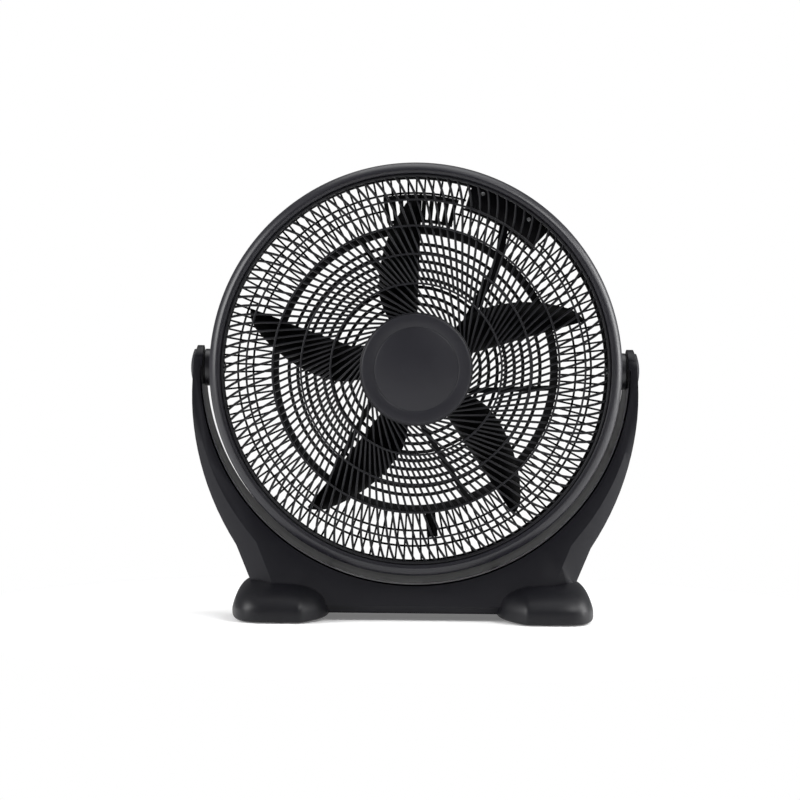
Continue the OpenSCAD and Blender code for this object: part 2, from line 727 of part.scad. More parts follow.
module pivot_nuts() color(steel) both_sides() in_head() rotate([0, 90, 0]) difference() {
    rotate([0, 0, 30]) translate([0, 0, nut_in])
        cylinder(d = nut_af / cos(30), h = nut_t, $fn = 6);
    disc(bolt_d / 2 + run, nut_in - 1, nut_in + nut_t + 1);
}

module friction_washers() color(rubber) both_sides() in_head() rotate([0, 90, 0])
    tube(collar_d / 2 - 3, bolt_d / 2 + 0.2, arm_in - washer_t, arm_in);

module pivot_cap() in_head() rotate([0, 90, 0]) difference() {
    r = pivot_cap_d / 2;
    dome = (r * r + pow(cap_rise - cap_edge, 2)) / (2 * (cap_rise - cap_edge));
    rotate_extrude() polygon(concat([[0, arm_out], [r, arm_out]],
        arc(0, arm_out + cap_rise - dome, dome, 90 - asin(r / dome), 90, 6)));
    disc(bolt_head_d / 2 + 1, arm_out - 1, arm_out + 0.6);
}

module pivot_cap_right() color(trim) pivot_cap();
module pivot_cap_left() color(trim) mirror([1, 0, 0]) pivot_cap();

// Cradle ---------------------------------------------------------------------------

module leg_outline(i) polygon([[leg_root, -leg_top], [leg_x + knee_out - i, -knee_drop],
    [leg_x - i, -(slope_drop + 20)], [leg_x - i, -(rail_drop - i)],
    [leg_root, -(rail_drop - i)]]);

module cradle_outline(i) difference() {
    union() {
        intersection() {
            translate([-flank_x, flank_y]) circle(r = flank_r - i);
            translate([flank_x, flank_y]) circle(r = flank_r - i);
            translate([-400, -(rail_drop - i)]) square([800, rail_drop + lobe_r + 20]);
        }
        both_sides() leg_outline(i);
    }
    circle(r = well_r + i);
    translate([-(well_r + i), 0]) square([2 * (well_r + i), 400]);
}

module cradle_side(i) {
    circle(r = lobe_r - i);
    polygon([[-(lobe_r - i), 0], [lobe_r - i, 0], [foot_half - i, -slope_drop],
        [foot_half - i, -(rail_drop - i)], [-(foot_half - i), -(rail_drop - i)],
        [-(foot_half - i), -slope_drop]]);
}

module cradle_solid(i) intersection() {
    translate([0, 0, -80]) linear_extrude(160) cradle_outline(i);
    rotate([0, 90, 0]) linear_extrude(640, center = true) cradle_side(i);
}

// Places of the screws that join the two shells, as angles from the right-hand side.
cradle_screw_at = [-14, -34, -52, -74];
function cradle_screw_r(a) = (well_r + edge_r(a, flank_r, flank_x, flank_y, leg_x, rail_drop)) / 2;

// Solid stuff round the pivots and the screws, inside the shell.
module cradle_bosses() intersection() {
    cradle_solid(cradle_wall - 0.6);
    translate([-400, -400, -80]) cube([800, 800, 80 + split]);
    both_sides() {
        rotate([0, 90, 0]) disc(lobe_r - 1, arm_in - 5, arm_out + 8);
        for (a = cradle_screw_at) polar(a, cradle_screw_r(a))
            disc(4.4, -foot_half - 1, split + 1);
    }
}

// The flats that the caps and the washers sit on.
module pivot_seats() both_sides() rotate([0, 90, 0]) {
    disc(pivot_cap_d / 2 + fit, arm_out, arm_out + 9);
    disc(collar_d / 2 + fit, arm_in - 9, arm_in);
}

module cradle_body() color(plastic) in_head() difference() {
    union() {
        intersection() {
            difference() {
                cradle_solid(0);
                cradle_solid(cradle_wall);
            }
            translate([-400, -400, -80]) cube([800, 800, 80 + split]);
        }
        cradle_bosses();
    }
    both_sides() rotate([0, 90, 0]) {
        disc(bolt_d / 2 + run, arm_in - 1, arm_out + 2);
        disc(bolt_head_d / 2 + 0.4, arm_out - head_pocket, arm_out + 2);
    }
    pivot_seats();
    both_sides() for (z = [-1, 1]) translate([pad_x, -rail_drop, z * shoe_screw_z])
        rotate([-90, 0, 0]) disc(shoe_screw_d / 2 + run, -1, 14);
    both_sides() for (a = cradle_screw_at) polar(a, cradle_screw_r(a)) {
        disc(1.6, -lobe_r + 8, split + 1);
        disc(3, -100, -lobe_r + 12);
    }
}

module cradle_screws() color(steel) in_head() both_sides() for (a = cradle_screw_at)
    polar(a, cradle_screw_r(a)) translate([0, 0, -lobe_r + 12]) screw(3, split + lobe_r - 8, 5.6, 2);

// Distance from the axis to the cradle's edge in direction a: a long arc, then a leg,
// then the rail's underside.
function to_circle(a, cx, cy, r) = let (b = cos(a) * cx + sin(a) * cy)
    b + sqrt(b * b + r * r - cx * cx - cy * cy);
function to_leg(a, top, bottom_x, knee) = let (
    c = cos(a), s = sin(a),
    d = [bottom_x - top[0], -knee - top[1]],
    t = (top[0] * d[1] - top[1] * d[0]) / (c * d[1] - s * d[0]))
    s * t < -knee ? bottom_x / c : t;
function edge_r(a, r, cx, cy, foot_x, drop) = let (
    m = a < -90 ? -180 - a : a,
    arc_d = to_circle(m, -cx, cy, r),
    leg_d = m < -44 && m > -86 ? to_leg(m, [foot_x + knee_out, -knee_drop], foot_x, slope_drop + 20) : 0,
    rail_d = m < -5 ? drop / -sin(m) : 1e4)
    min(rail_d, max(arc_d, leg_d));

function face_z(y, i) = y >= 0 ? sqrt(pow(lobe_r - i, 2) - y * y)
    : (lobe_r - i) + (foot_half - lobe_r) * min(1, -y / slope_drop);

// One cross-section of the front shell in direction a, or at height y on an arm.
function shell_ring(a, y, i) = let (
    side = a < -90 ? -1 : 1,
    on_arm = y > 0,
    inner = on_arm ? [side * (well_r + i), y] : (well_r + i) * [cos(a), sin(a)],
    outer_d = edge_r(a, flank_r, flank_x, flank_y, leg_x, rail_drop) - i,
    face_d = min(outer_d, edge_r(a, face_r, face_x, face_y, face_leg_x, rail_drop - rail_round) - i),
    outer = on_arm ? [side * (arm_x(y) - i), y] : outer_d * [cos(a), sin(a)],
    face = on_arm ? outer : face_d * [cos(a), sin(a)],
    m = a < -90 ? -180 - a : a,
    depth = m < -60 ? max(rail_round, bevel_depth - (-60 - m) * 2)
        : bevel_depth * min(1, max(0, (-bevel_from - outer[1]) / 180)),
    back = i > 0 ? split - 1 : split
) [
    [inner[0], inner[1], back],
    [inner[0], inner[1], face_z(inner[1], i)],
    [face[0], face[1], face_z(face[1], i)],
    [outer[0], outer[1], max(back + 0.5, face_z(outer[1], i) - depth)],
    [outer[0], outer[1], back]
];

// The foot's two corners, as angles, and a section's angle moved onto a near corner.
foot_corners = [atan2(-slope_drop - 20, leg_x), atan2(-rail_drop, leg_x)];
function on_corner(a) = let (
    m = a < -90 ? -180 - a : a,
    near = [for (c = foot_corners) if (abs(c - m) < 1.5) c],
    b = len(near) > 0 ? near[0] : m
) a < -90 ? -180 - b : b;

module shell_form(i) {
    top = cover_top - i;
    arm_y = [for (k = [5:-1:1]) top * k / 5];
    turn = [for (k = [0:60]) on_corner(-3 * k)];
    rings = concat(
        [for (y = arm_y) shell_ring(0, y, i)],
        [for (a = turn) shell_ring(a, 0, i)],
        [for (k = [4:-1:0]) shell_ring(-180, arm_y[k], i)]
    );
    n = len(rings);
    polyhedron([for (r = rings) each r], concat(
        [for (k = [0:n - 2], j = [0:4]) let (a = 5 * k + j, b = 5 * k + (j + 1) % 5)
            each [[a, b, b + 5], [a, b + 5, a + 5]]],
        [[4, 3, 2, 1, 0]],
        [[for (j = [0:4]) 5 * (n - 1) + j]]
    ));
}

module cradle_front() color(plastic) in_head() difference() {
    shell_form(0);
    shell_form(cradle_wall);
}

// Shoes ----------------------------------------------------------------------------

module pill(x, z, y, r, h) translate([x, y, z]) scale([1, h / r, 1]) sphere(r = r, $fn = 32);

module shoe_form() hull() for (z = [-1, 1]) {
    pill(shoe_in + 32, z * (shoe_depth / 2 - 32), shoe_base, 32, shoe_base);
    pill(shoe_out - 24, z * (shoe_depth / 2 - 24), shoe_waist, 24, shoe_waist);
    pill(shoe_in + 58, z * (foot_half - 10), shoe_h - shoe_lift - shoe_round - 3, shoe_round, shoe_round);
    pill(shoe_out - 26, z * (foot_half - 10), shoe_h - shoe_lift - shoe_round, shoe_round, shoe_round);
}

// The hollow under a shoe's front slope.
module shoe_hollow() rotate([0, 90, 0]) linear_extrude(shoe_out - shoe_in - 42)
    polygon([[-foot_half - 4, -1], [-foot_half - 4, 38], [-foot_half - 9, 38],
        [-shoe_depth / 2 + 20, 24], [-shoe_depth / 2 + 12, 14], [-shoe_depth / 2 + 12, -1]]);

module shoe() in_head() difference() {
    translate([0, shoe_lift - axis_z, 0]) shoe_form();
    for (z = [0, 1]) mirror([0, 0, z]) difference() {
        translate([shoe_in + 24, -axis_z, 0]) shoe_hollow();
        translate([pad_x, -axis_z - 1, pad_z]) rotate([-90, 0, 0])
            disc(pad_d / 2 + 2, 0, 60);
    }
    intersection() {
        cradle_solid(-fit);
        translate([90, -rail_drop - fit, -80]) cube([160, 120, 160]);
    }
    for (z = [-1, 1]) {
        translate([pad_x, -axis_z, z * pad_z]) rotate([-90, 0, 0])
            disc(pad_d / 2 + 0.1, -1, pad_t);
        translate([pad_x, -axis_z, z * shoe_screw_z]) rotate([-90, 0, 0]) {
            disc(2, -1, 30);
            disc(4.2, -1, 5);
        }
    }
}

pad_x = (shoe_in + shoe_out) / 2;
pad_z = shoe_depth / 2 - 24;
shoe_screw_z = 14;
shoe_screw_d = 3.6;

module shoe_right() color(plastic) shoe();
module shoe_left() color(plastic) mirror([1, 0, 0]) shoe();

module shoe_pads() color(rubber) both_sides() in_head() for (z = [-1, 1])
    translate([pad_x, -axis_z, z * pad_z]) rotate([-90, 0, 0]) disc(pad_d / 2, 0, pad_t);

module shoe_screws() color(steel) both_sides() in_head() for (z = [-1, 1])
    translate([pad_x, 5 - axis_z, z * shoe_screw_z]) rotate([-90, 0, 0])
        screw(shoe_screw_d, 12, 7, 2.4);

// Assembly -------------------------------------------------------------------------

drum();
front_grille();
hub_cap();
rear_grille();
rear_grille_screws();
switch_box();
control_panel();
switch_box_screws();
rotary_switch();
switch_spindle();
speed_knob();
capacitor();
cord_gland();
lead_conduit();
motor_lead();
motor_rear_shell();
motor_front_shell();
stator();
windings();
motor_bolts();
motor_mount_screws();
rear_bearing();
front_bearing();
motor_cover();
motor_cover_screws();
motor_shaft();
rotor_core();
fan_blade();
blade_pin();
blade_nut();
pivot_bolt_left();
pivot_bolt_right();
pivot_nuts();
friction_washers();
pivot_cap_left();
pivot_cap_right();
cradle_body();
cradle_front();
cradle_screws();
shoe_left();
shoe_right();
shoe_pads();
shoe_screws();
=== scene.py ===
"""Looks of a round floor fan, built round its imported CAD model.

The drum head with its two guards, the impeller, the U-shaped cradle and the two shoes are
dressed as one charcoal moulding family, with zinc-plated fasteners and a painted motor.
Metres, +Z up, air leaves towards -Y, origin on the floor under the middle of the fan.
"""

import logging
import math
from dataclasses import dataclass
from enum import Enum
from typing import Callable, ClassVar, Iterable, Optional, Union

import bmesh
import bpy
from mathutils import Matrix, Vector


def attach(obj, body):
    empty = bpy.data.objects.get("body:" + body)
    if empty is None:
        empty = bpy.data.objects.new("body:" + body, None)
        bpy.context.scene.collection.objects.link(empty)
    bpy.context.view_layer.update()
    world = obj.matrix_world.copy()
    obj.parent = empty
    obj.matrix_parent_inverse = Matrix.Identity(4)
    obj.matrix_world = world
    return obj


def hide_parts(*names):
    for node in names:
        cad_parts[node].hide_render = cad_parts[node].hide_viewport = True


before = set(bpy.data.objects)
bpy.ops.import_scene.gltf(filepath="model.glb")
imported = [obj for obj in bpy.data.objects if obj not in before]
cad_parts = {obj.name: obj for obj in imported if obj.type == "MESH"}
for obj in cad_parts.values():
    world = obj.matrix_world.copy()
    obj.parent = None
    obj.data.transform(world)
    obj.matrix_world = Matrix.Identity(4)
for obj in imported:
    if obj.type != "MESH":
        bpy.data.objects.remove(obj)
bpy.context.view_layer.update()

LOG = logging.getLogger("floor_fan")
MM = 0.001
AXIS_Z = 0.315
POINT_MERGE = 0.001 * MM
MERGE = 0.002 * MM
FLAT = 1.0
FULL_TURN = 360.0

Point = tuple[float, float, float]
Colour = tuple[float, float, float]
Profile = list[tuple[float, float]]


class Body(Enum):
    """The bodies that the joints move."""

    STAND = "stand"
    HEAD = "head"
    ROTOR = "rotor"
    KNOB = "knob"


# --- Shaders ----------------------------------------------------------------------------


class Sock:
    """A node's output socket on which arithmetic adds Math nodes."""

    def __init__(self, graph: "Graph", socket: bpy.types.NodeSocket) -> None:
        """Wraps a socket.

        Args:
            graph: the graph that the socket's node belongs to.
            socket: the output socket.
        """
        self.graph = graph
        self.socket = socket

    def _math(self, operation: str, first: object, second: object) -> "Sock":
        """Adds a Math node.

        Args:
            operation: name of the Math node's operation.
            first: left-hand value or socket.
            second: right-hand value or socket.

        Returns:
            The node's result.
        """
        return self.graph.node("ShaderNodeMath", {"operation": operation}, {0: first, 1: second})

    def __add__(self, other: object) -> "Sock":
        """Sum."""
        return self._math("ADD", self, other)

    def __radd__(self, other: object) -> "Sock":
        """Sum, reflected."""
        return self._math("ADD", other, self)

    def __mul__(self, other: object) -> "Sock":
        """Product."""
        return self._math("MULTIPLY", self, other)

    def __rmul__(self, other: object) -> "Sock":
        """Product, reflected."""
        return self._math("MULTIPLY", other, self)


class Graph:
    """The node graph of one material or of the world."""

    ROUGH_NOISE = 0.6

    def __init__(self, tree: bpy.types.NodeTree) -> None:
        """Takes over a node tree and empties it.

        Args:
            tree: the tree to fill.
        """
        self.tree = tree
        tree.nodes.clear()

    def node(
        self,
        kind: str,
        settings: Optional[dict[str, object]] = None,
        inputs: Optional[dict[Union[str, int], object]] = None,
        output: Union[str, int] = 0,
    ) -> Sock:
        """Adds a node.

        Args:
            kind: the node's type.
            settings: attributes set before the sockets.
            inputs: values or links of input sockets, by name or number.
            output: the output socket to return, by name or number.

        Returns:
            The wrapped output socket.
        """
        made = self.tree.nodes.new(kind)
        for name, value in (settings or {}).items():
            setattr(made, name, value)
        for key, value in (inputs or {}).items():
            self._feed(made.inputs[key], value)
        return Sock(self, made.outputs[output] if len(made.outputs) else None)

    def _feed(self, socket: bpy.types.NodeSocket, value: object) -> None:
        """Links a socket or sets its value.

        Args:
            socket: the input socket.
            value: a wrapped socket, a number, a colour or a vector.
        """
        if isinstance(value, Sock):
            self.tree.links.new(value.socket, socket)
        elif hasattr(socket.default_value, "__len__") and len(socket.default_value) == 4:
            socket.default_value = (*value[:3], 1.0)
        else:
            socket.default_value = value

    def grain(self, scale: float, detail: float = 2.0, stretch: Point = (1, 1, 1)) -> Sock:
        """Noise in the piece's own coordinates.

        Args:
            scale: how many blobs fit in a metre.
            detail: octaves of finer noise.
            stretch: factors along the three axes.

        Returns:
            Noise around 0.5.
        """
        place = self.node("ShaderNodeTexCoord", output="Object")
        if stretch != (1, 1, 1):
            place = self.node("ShaderNodeMapping", inputs={"Vector": place, "Scale": stretch})
        return self.node(
            "ShaderNodeTexNoise",
            inputs={"Vector": place, "Scale": scale, "Detail": detail,
                    "Roughness": self.ROUGH_NOISE},
            output="Fac",
        )

    def between(self, factor: Sock, low: Point, high: Point) -> Sock:
        """Mixes two colours.

        Args:
            factor: 0 for the first colour, 1 for the second.
            low: first colour.
            high: second colour.

        Returns:
            The mixed colour.
        """
        return self.node(
            "ShaderNodeMix",
            {"data_type": "RGBA"},
            {0: factor, 6: low, 7: high},
            output=2,
        )


@dataclass(frozen=True)
class Finish:
    """A finish whose material is made on first use."""

    name: str
    colour: Colour
    roughness: float

    def material(self) -> bpy.types.Material:
        """The finish's material."""
        known = bpy.data.materials.get(self.name)
        if known:
            return known
        made = bpy.data.materials.new(self.name)
        made.use_nodes = True
        made.diffuse_color = (*self.colour, 1.0)
        graph = Graph(made.node_tree)
        shader = self.shader(graph)
        graph.node("ShaderNodeOutputMaterial", inputs={"Surface": shader})
        return made

    def shader(self, graph: Graph) -> Sock:
        """Builds the finish's shader.

        Args:
            graph: the material's empty graph.

        Returns:
            The shader's output.
        """
        raise NotImplementedError


@dataclass(frozen=True)
class Moulding(Finish):
    """Dyed plastic from a spark-eroded mould: fine grain, faint flow marks and handling."""

    lift: Colour = (0.012, 0.012, 0.013)
    grain_size: float = 0.45 * MM
    grain_depth: float = 0.035 * MM
    specular: float = 0.35
    flow_scale: float = 14.0
    flow_share: float = 0.55
    grain_share: float = 0.45
    handled_scale: float = 55.0
    polish: float = 0.08
    handled_dull: float = 0.10
    flow_dull: float = 0.06
    bump: float = 0.5

    def shader(self, graph: Graph) -> Sock:
        """Grain in the normal, flow marks in colour and gloss.

        Args:
            graph: the material's empty graph.

        Returns:
            The shader's output.
        """
        flow = graph.grain(self.flow_scale, 3.0)
        handled = graph.grain(self.handled_scale, 4.0)
        grain = graph.grain(1.0 / self.grain_size, 1.0)
        lifted = tuple(c + d for c, d in zip(self.colour, self.lift))
        share = flow * self.flow_share + grain * self.grain_share
        tone = graph.between(share, self.colour, lifted)
        rough = self.roughness - self.polish + handled * self.handled_dull + flow * self.flow_dull
        normal = graph.node(
            "ShaderNodeBump",
            inputs={"Strength": self.bump, "Distance": self.grain_depth, "Height": grain},
        )
        return graph.node(
            "ShaderNodeBsdfPrincipled",
            inputs={
                "Base Color": tone,
                "Roughness": rough,
                "Specular IOR Level": self.specular,
                "Normal": normal,
            },
        )


@dataclass(frozen=True)
class Plated(Finish):
    """Metal with faint brush marks and dulled patches."""

    stretch: Point = (1, 8, 1)
    patch_scale: float = 90.0
    patch_dark: float = 0.7
    patch_dull: float = 0.15
    brush_scale: float = 900.0
    brush_depth: float = 0.02 * MM
    bump: float = 0.3

    def shader(self, graph: Graph) -> Sock:
        """Brush marks in the normal and patches in the gloss.

        Args:
            graph: the material's empty graph.

        Returns:
            The shader's output.
        """
        patch = graph.grain(self.patch_scale, 3.0)
        brush = graph.grain(self.brush_scale, 2.0, self.stretch)
        dark = tuple(c * self.patch_dark for c in self.colour)
        tone = graph.between(patch, dark, self.colour)
        normal = graph.node(
            "ShaderNodeBump",
            inputs={"Strength": self.bump, "Distance": self.brush_depth, "Height": brush},
        )
        return graph.node(
            "ShaderNodeBsdfPrincipled",
            inputs={
                "Base Color": tone,
                "Metallic": 1.0,
                "Roughness": self.roughness + patch * self.patch_dull,
                "Normal": normal,
            },
        )


@dataclass(frozen=True)
class Soft(Finish):
    """Rubber or paint: a dull skin with slight dimples."""

    dimple_size: float = 1.5 * MM
    dimple_depth: float = 0.05 * MM
    dust_scale: float = 40.0
    dust_gain: float = 1.5
    dust_add: float = 0.006
    dust_dull: float = 0.1
    bump: float = 0.5

    def shader(self, graph: Graph) -> Sock:
        """Dimples in the normal and a dusty tone.

        Args:
            graph: the material's empty graph.

        Returns:
            The shader's output.
        """
        dimple = graph.grain(1.0 / self.dimple_size, 2.0)
        dust = graph.grain(self.dust_scale, 3.0)
        light = tuple(min(1.0, c * self.dust_gain + self.dust_add) for c in self.colour)
        normal = graph.node(
            "ShaderNodeBump",
            inputs={"Strength": self.bump, "Distance": self.dimple_depth, "Height": dimple},
        )
        return graph.node(
            "ShaderNodeBsdfPrincipled",
            inputs={
                "Base Color": graph.between(dust, self.colour, light),
                "Roughness": self.roughness + dust * self.dust_dull,
                "Normal": normal,
            },
        )


BODY = Moulding("charcoal moulding", (0.0023, 0.0022, 0.004), 0.46, (0.003, 0.003, 0.0046),
                specular=0.2)
GUARD = Moulding("guard moulding", (0.003, 0.003, 0.0042), 0.44, (0.005, 0.005, 0.0065),
                 grain_depth=0.02 * MM, specular=0.26)
TRIM = Moulding("satin trim", (0.0066, 0.0064, 0.009), 0.46, (0.009, 0.009, 0.0115),
                grain_size=0.35 * MM, specular=0.28)
# The drum's plastic is painted lighter than the charcoal body, a painted sheen for its rim; its
# lower roughness and higher specular are real gloss.
RIM_PAINTED_SHEEN = Moulding("rim moulding with painted sheen", (0.006, 0.0058, 0.0082), 0.38, (0.008, 0.008, 0.0105),
               specular=0.42)
# The well's wall is the same charcoal plastic, painted much lighter: painted light for its upward
# faces, which the top light falls on.
WELL_PAINTED_LIGHT = Moulding("well moulding with painted light", (0.034, 0.033, 0.038), 0.32, grain_depth=0.01 * MM,
                specular=0.65)
BLADE = Moulding("blade moulding", (0.002, 0.002, 0.0024), 0.45, (0.003, 0.003, 0.0034),
                 grain_depth=0.015 * MM, specular=0.2)
PART = Moulding("electrical part", (0.05, 0.05, 0.055), 0.5)
ZINC = Plated("zinc-plated steel", (0.62, 0.63, 0.65), 0.32)
SHEET = Plated("motor sheet", (0.34, 0.35, 0.37), 0.42, (1, 1, 12))
BRONZE = Plated("sintered bronze", (0.62, 0.42, 0.2), 0.4)
MOTOR_PAINT = Soft("motor paint", (0.16, 0.165, 0.175), 0.4, 2.5 * MM, 0.04 * MM)
COPPER = Plated("enamelled copper", (0.55, 0.22, 0.09), 0.3)
RUBBER = Soft("black rubber", (0.012, 0.012, 0.012), 0.75)


# --- Modelling --------------------------------------------------------------------------

HEAD = Matrix(((1, 0, 0, 0), (0, 0, -1, 0), (0, 1, 0, AXIS_Z), (0, 0, 0, 1)))


def polar(radius: float, angle: float) -> tuple[float, float]:
    """A point on a circle, from the right-hand side upwards.

    Args:
        radius: the circle's radius.
        angle: degrees.

    Returns:
        The point's two coordinates.
    """
    return radius * math.cos(math.radians(angle)), radius * math.sin(math.radians(angle))


class Shape:
    """A mesh object that is modelled with operators.

    The head's own pieces are modelled with x to the right, y up from the fan's axis and z
    forwards; HEAD takes them to the fan's frame.
    """

    def __init__(self, name: str) -> None:
        """Takes over the object that an operator has just added.

        Args:
            name: the object's new name.
        """
        self.object = bpy.context.object
        self.object.name = name

    @staticmethod
    def clear() -> None:
        """Deselects everything, in object mode."""
        if bpy.context.mode != "OBJECT":
            bpy.ops.object.mode_set(mode="OBJECT")
        bpy.ops.object.select_all(action="DESELECT")

    @classmethod
    def block(cls, name: str, low: Point, high: Point) -> "Shape":
        """A block between two corners.

        Args:
            name: the object's name.
            low: lowest corner.
            high: highest corner.

        Returns:
            The shape.
        """
        cls.clear()
        a, b = Vector(low), Vector(high)
        bpy.ops.mesh.primitive_cube_add(size=1.0, location=(a + b) / 2, scale=b - a)
        bpy.ops.object.transform_apply()
        return cls(name)

    @classmethod
    def outline(cls, name: str, points: Profile, closed: bool = True) -> "Shape":
        """A profile drawn vertex by vertex in the plane of radius and reach.

        Args:
            name: the object's name.
            points: radius and forward reach of each vertex.
            closed: whether the last vertex is joined to the first.

        Returns:
            The shape, in edit mode with everything selected.
        """
        cls.clear()
        bpy.ops.mesh.primitive_plane_add(size=MM)
        made = cls(name)
        bpy.ops.object.mode_set(mode="EDIT")
        bpy.ops.mesh.select_mode(type="VERT")
        bpy.ops.mesh.select_all(action="SELECT")
        bpy.ops.mesh.merge(type="CENTER")
        way = [Vector((r, 0, z)) for r, z in points]
        bpy.ops.transform.translate(value=way[0])
        for start, end in zip(way, way[1:] + (way[:1] if closed else [])):
            bpy.ops.mesh.extrude_vertices_move(TRANSFORM_OT_translate={"value": end - start})
        bpy.ops.mesh.select_all(action="SELECT")
        bpy.ops.mesh.remove_doubles(threshold=POINT_MERGE)
        return made

    @classmethod
    def turned(
        cls,
        name: str,
        points: Profile,
        steps: int,
        closed: bool = True,
        start: float = 0.0,
        angle: float = FULL_TURN,
    ) -> "Shape":
        """A profile spun round the fan's axis.

        Args:
            name: the object's name.
            points: radius and forward reach of the profile's vertices.
            steps: faces round the spin.
            closed: whether the profile is a loop.
            start: angle of the first section, in degrees.
            angle: how far it is spun.

        Returns:
            The shape, in object mode.
        """
        made = cls.outline(name, points, closed)
        if angle < FULL_TURN and closed:
            bpy.ops.mesh.edge_face_add()
            bpy.ops.mesh.select_all(action="SELECT")
        bpy.ops.mesh.spin(
            steps=steps, angle=math.radians(angle), center=(0, 0, 0), axis=(0, 0, -1)
        )
        bpy.ops.mesh.select_all(action="SELECT")
        bpy.ops.mesh.remove_doubles(threshold=MERGE)
        bpy.ops.mesh.normals_make_consistent(inside=False)
        bpy.ops.object.mode_set(mode="OBJECT")
        if start:
            made.move(Matrix.Rotation(math.radians(start), 4, "Z"))
        return made

    @classmethod
    def ball(cls, name: str, around: int, along: int) -> "Shape":
        """A ball of radius 1 whose poles lie on the x axis.

        Args:
            name: the object's name.
            around: faces round the axis.
            along: rings from pole to pole.

        Returns:
            The shape, in object mode.
        """
        cls.clear()
        bpy.ops.mesh.primitive_uv_sphere_add(segments=around, ring_count=along, radius=1.0)
        return cls(name).move(Matrix.Rotation(math.pi / 2, 4, "Y"))

    @classmethod
    def of_node(cls, node: str, name: str) -> "Shape":
        """A merged copy of a CAD node, ready to be shaped further.

        Args:
            node: the node's name.
            name: the copy's name.

        Returns:
            The shape, in object mode.
        """
        cls.clear()
        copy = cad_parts[node].copy()
        copy.data = copy.data.copy()
        copy.parent = None
        bpy.context.scene.collection.objects.link(copy)
        copy.matrix_world = Matrix.Identity(4)
        copy.select_set(True)
        bpy.context.view_layer.objects.active = copy
        made = cls(name)
        with made.edit():
            bpy.ops.mesh.select_all(action="SELECT")
            bpy.ops.mesh.remove_doubles(threshold=MERGE)
        return made

    class _Edit:
        """Edit mode for the length of a with block."""

        def __init__(self, shape: "Shape") -> None:
            """Remembers the shape."""
            self.shape = shape

        def __enter__(self) -> None:
            """Selects the object and enters edit mode."""
            Shape.clear()
            self.shape.object.select_set(True)
            bpy.context.view_layer.objects.active = self.shape.object
            bpy.ops.object.mode_set(mode="EDIT")

        def __exit__(self, *_: object) -> None:
            """Leaves edit mode."""
            bpy.ops.object.mode_set(mode="OBJECT")

    def edit(self) -> "Shape._Edit":
        """Edit mode for the length of a with block."""
        return Shape._Edit(self)

    def pick_faces(self, test: Callable[[Vector, Vector], bool]) -> None:
        """Selects the faces that pass a test, in edit mode.

        Args:
            test: takes a face's middle and its normal.
        """
        bpy.ops.mesh.select_mode(type="FACE")
        bpy.ops.mesh.select_all(action="DESELECT")
        mesh = bmesh.from_edit_mesh(self.object.data)
        for face in mesh.faces:
            face.select_set(test(face.calc_center_median(), face.normal))
        bmesh.update_edit_mesh(self.object.data)

    def pick_edges(self, test: Callable[[Vector, Vector, float], bool]) -> None:
        """Selects the edges that pass a test, in edit mode.

        Args:
            test: takes an edge's two ends and the angle between its faces, in degrees.
        """
        bpy.ops.mesh.select_mode(type="EDGE")
        bpy.ops.mesh.select_all(action="DESELECT")
        mesh = bmesh.from_edit_mesh(self.object.data)
        for edge in mesh.edges:
            fold = math.degrees(edge.calc_face_angle(math.pi))
            edge.select_set(test(edge.verts[0].co, edge.verts[1].co, fold))
        bmesh.update_edit_mesh(self.object.data)

    def move(self, matrix: Matrix) -> "Shape":
        """Moves the mesh and leaves the object at the origin.

        Args:
            matrix: the move.

        Returns:
            The shape itself.
        """
        self.object.data.transform(matrix)
        self.object.data.update()
        return self

    def reshape(self, rule: Callable[[Vector], Vector]) -> "Shape":
        """Moves every vertex by a rule.

        Args:
            rule: takes a vertex's place and returns its new one.

        Returns:
            The shape itself.
        """
        for vertex in self.object.data.vertices:
            vertex.co = rule(vertex.co.copy())
        self.object.data.update()
        return self

    def ease(self, width: float, segments: int, sharp: float) -> None:
        """Clears the flat facets and rounds the edges.

        Args:
            width: width of the rounds.
            segments: faces across a round.
            sharp: folds above this angle are rounded, in degrees.
        """
        with self.edit():
            bpy.ops.mesh.select_all(action="SELECT")
            bpy.ops.mesh.dissolve_limited(angle_limit=math.radians(FLAT))
        Shape.clear()
        self.object.select_set(True)
        bpy.context.view_layer.objects.active = self.object
        bevel = self.object.modifiers.new("bevel", "BEVEL")
        bevel.width = width
        bevel.segments = segments
        bevel.limit_method = "ANGLE"
        bevel.angle_limit = math.radians(sharp)
        bevel.use_clamp_overlap = True
        bpy.ops.object.modifier_apply(modifier=bevel.name)

    def copies(self, places: Iterable[Matrix]) -> list["Shape"]:
        """Copies of the shape, each with its own mesh, at further places.

        Args:
            places: one move for each copy.

        Returns:
            The copies.
        """
        made = []
        for place in places:
            copy = self.object.copy()
            copy.data = self.object.data.copy()
            bpy.context.scene.collection.objects.link(copy)
            bpy.context.view_layer.objects.active = copy
            made.append(Shape(self.object.name).move(place))
        return made

    def remove(self) -> None:
        """Deletes the shape."""
        bpy.data.objects.remove(self.object, do_unlink=True)

    def join(self, others: Iterable["Shape"]) -> "Shape":
        """Joins other shapes into this one.

        Args:
            others: the shapes to take in.

        Returns:
            The shape itself.
        """
        Shape.clear()
        for other in others:
            other.object.select_set(True)
        self.object.select_set(True)
        bpy.context.view_layer.objects.active = self.object
        bpy.ops.object.join()
        return self

    def finish(
        self,
        finish: Finish,
        body: Body,
        *nodes: str,
        slot: str = "body_plastic",
        smooth: float = 35.0,
    ) -> None:
        """Shades, dresses and mounts the finished piece.

        Args:
            finish: its finish.
            body: the body that it rides on.
            *nodes: CAD nodes that it stands for.
            slot: a material slot's name; not used.
            smooth: folds below this angle are shaded smooth, in degrees.
        """
        Shape.clear()
        self.object.select_set(True)
        bpy.context.view_layer.objects.active = self.object
        bpy.ops.object.shade_smooth_by_angle(angle=math.radians(smooth))
        self.object.data.materials.clear()
        self.object.data.materials.append(finish.material())
        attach(self.object, body.value)
        if nodes:
            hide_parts(*nodes)
        LOG.info("%s: %d faces", self.object.name, len(self.object.data.polygons))


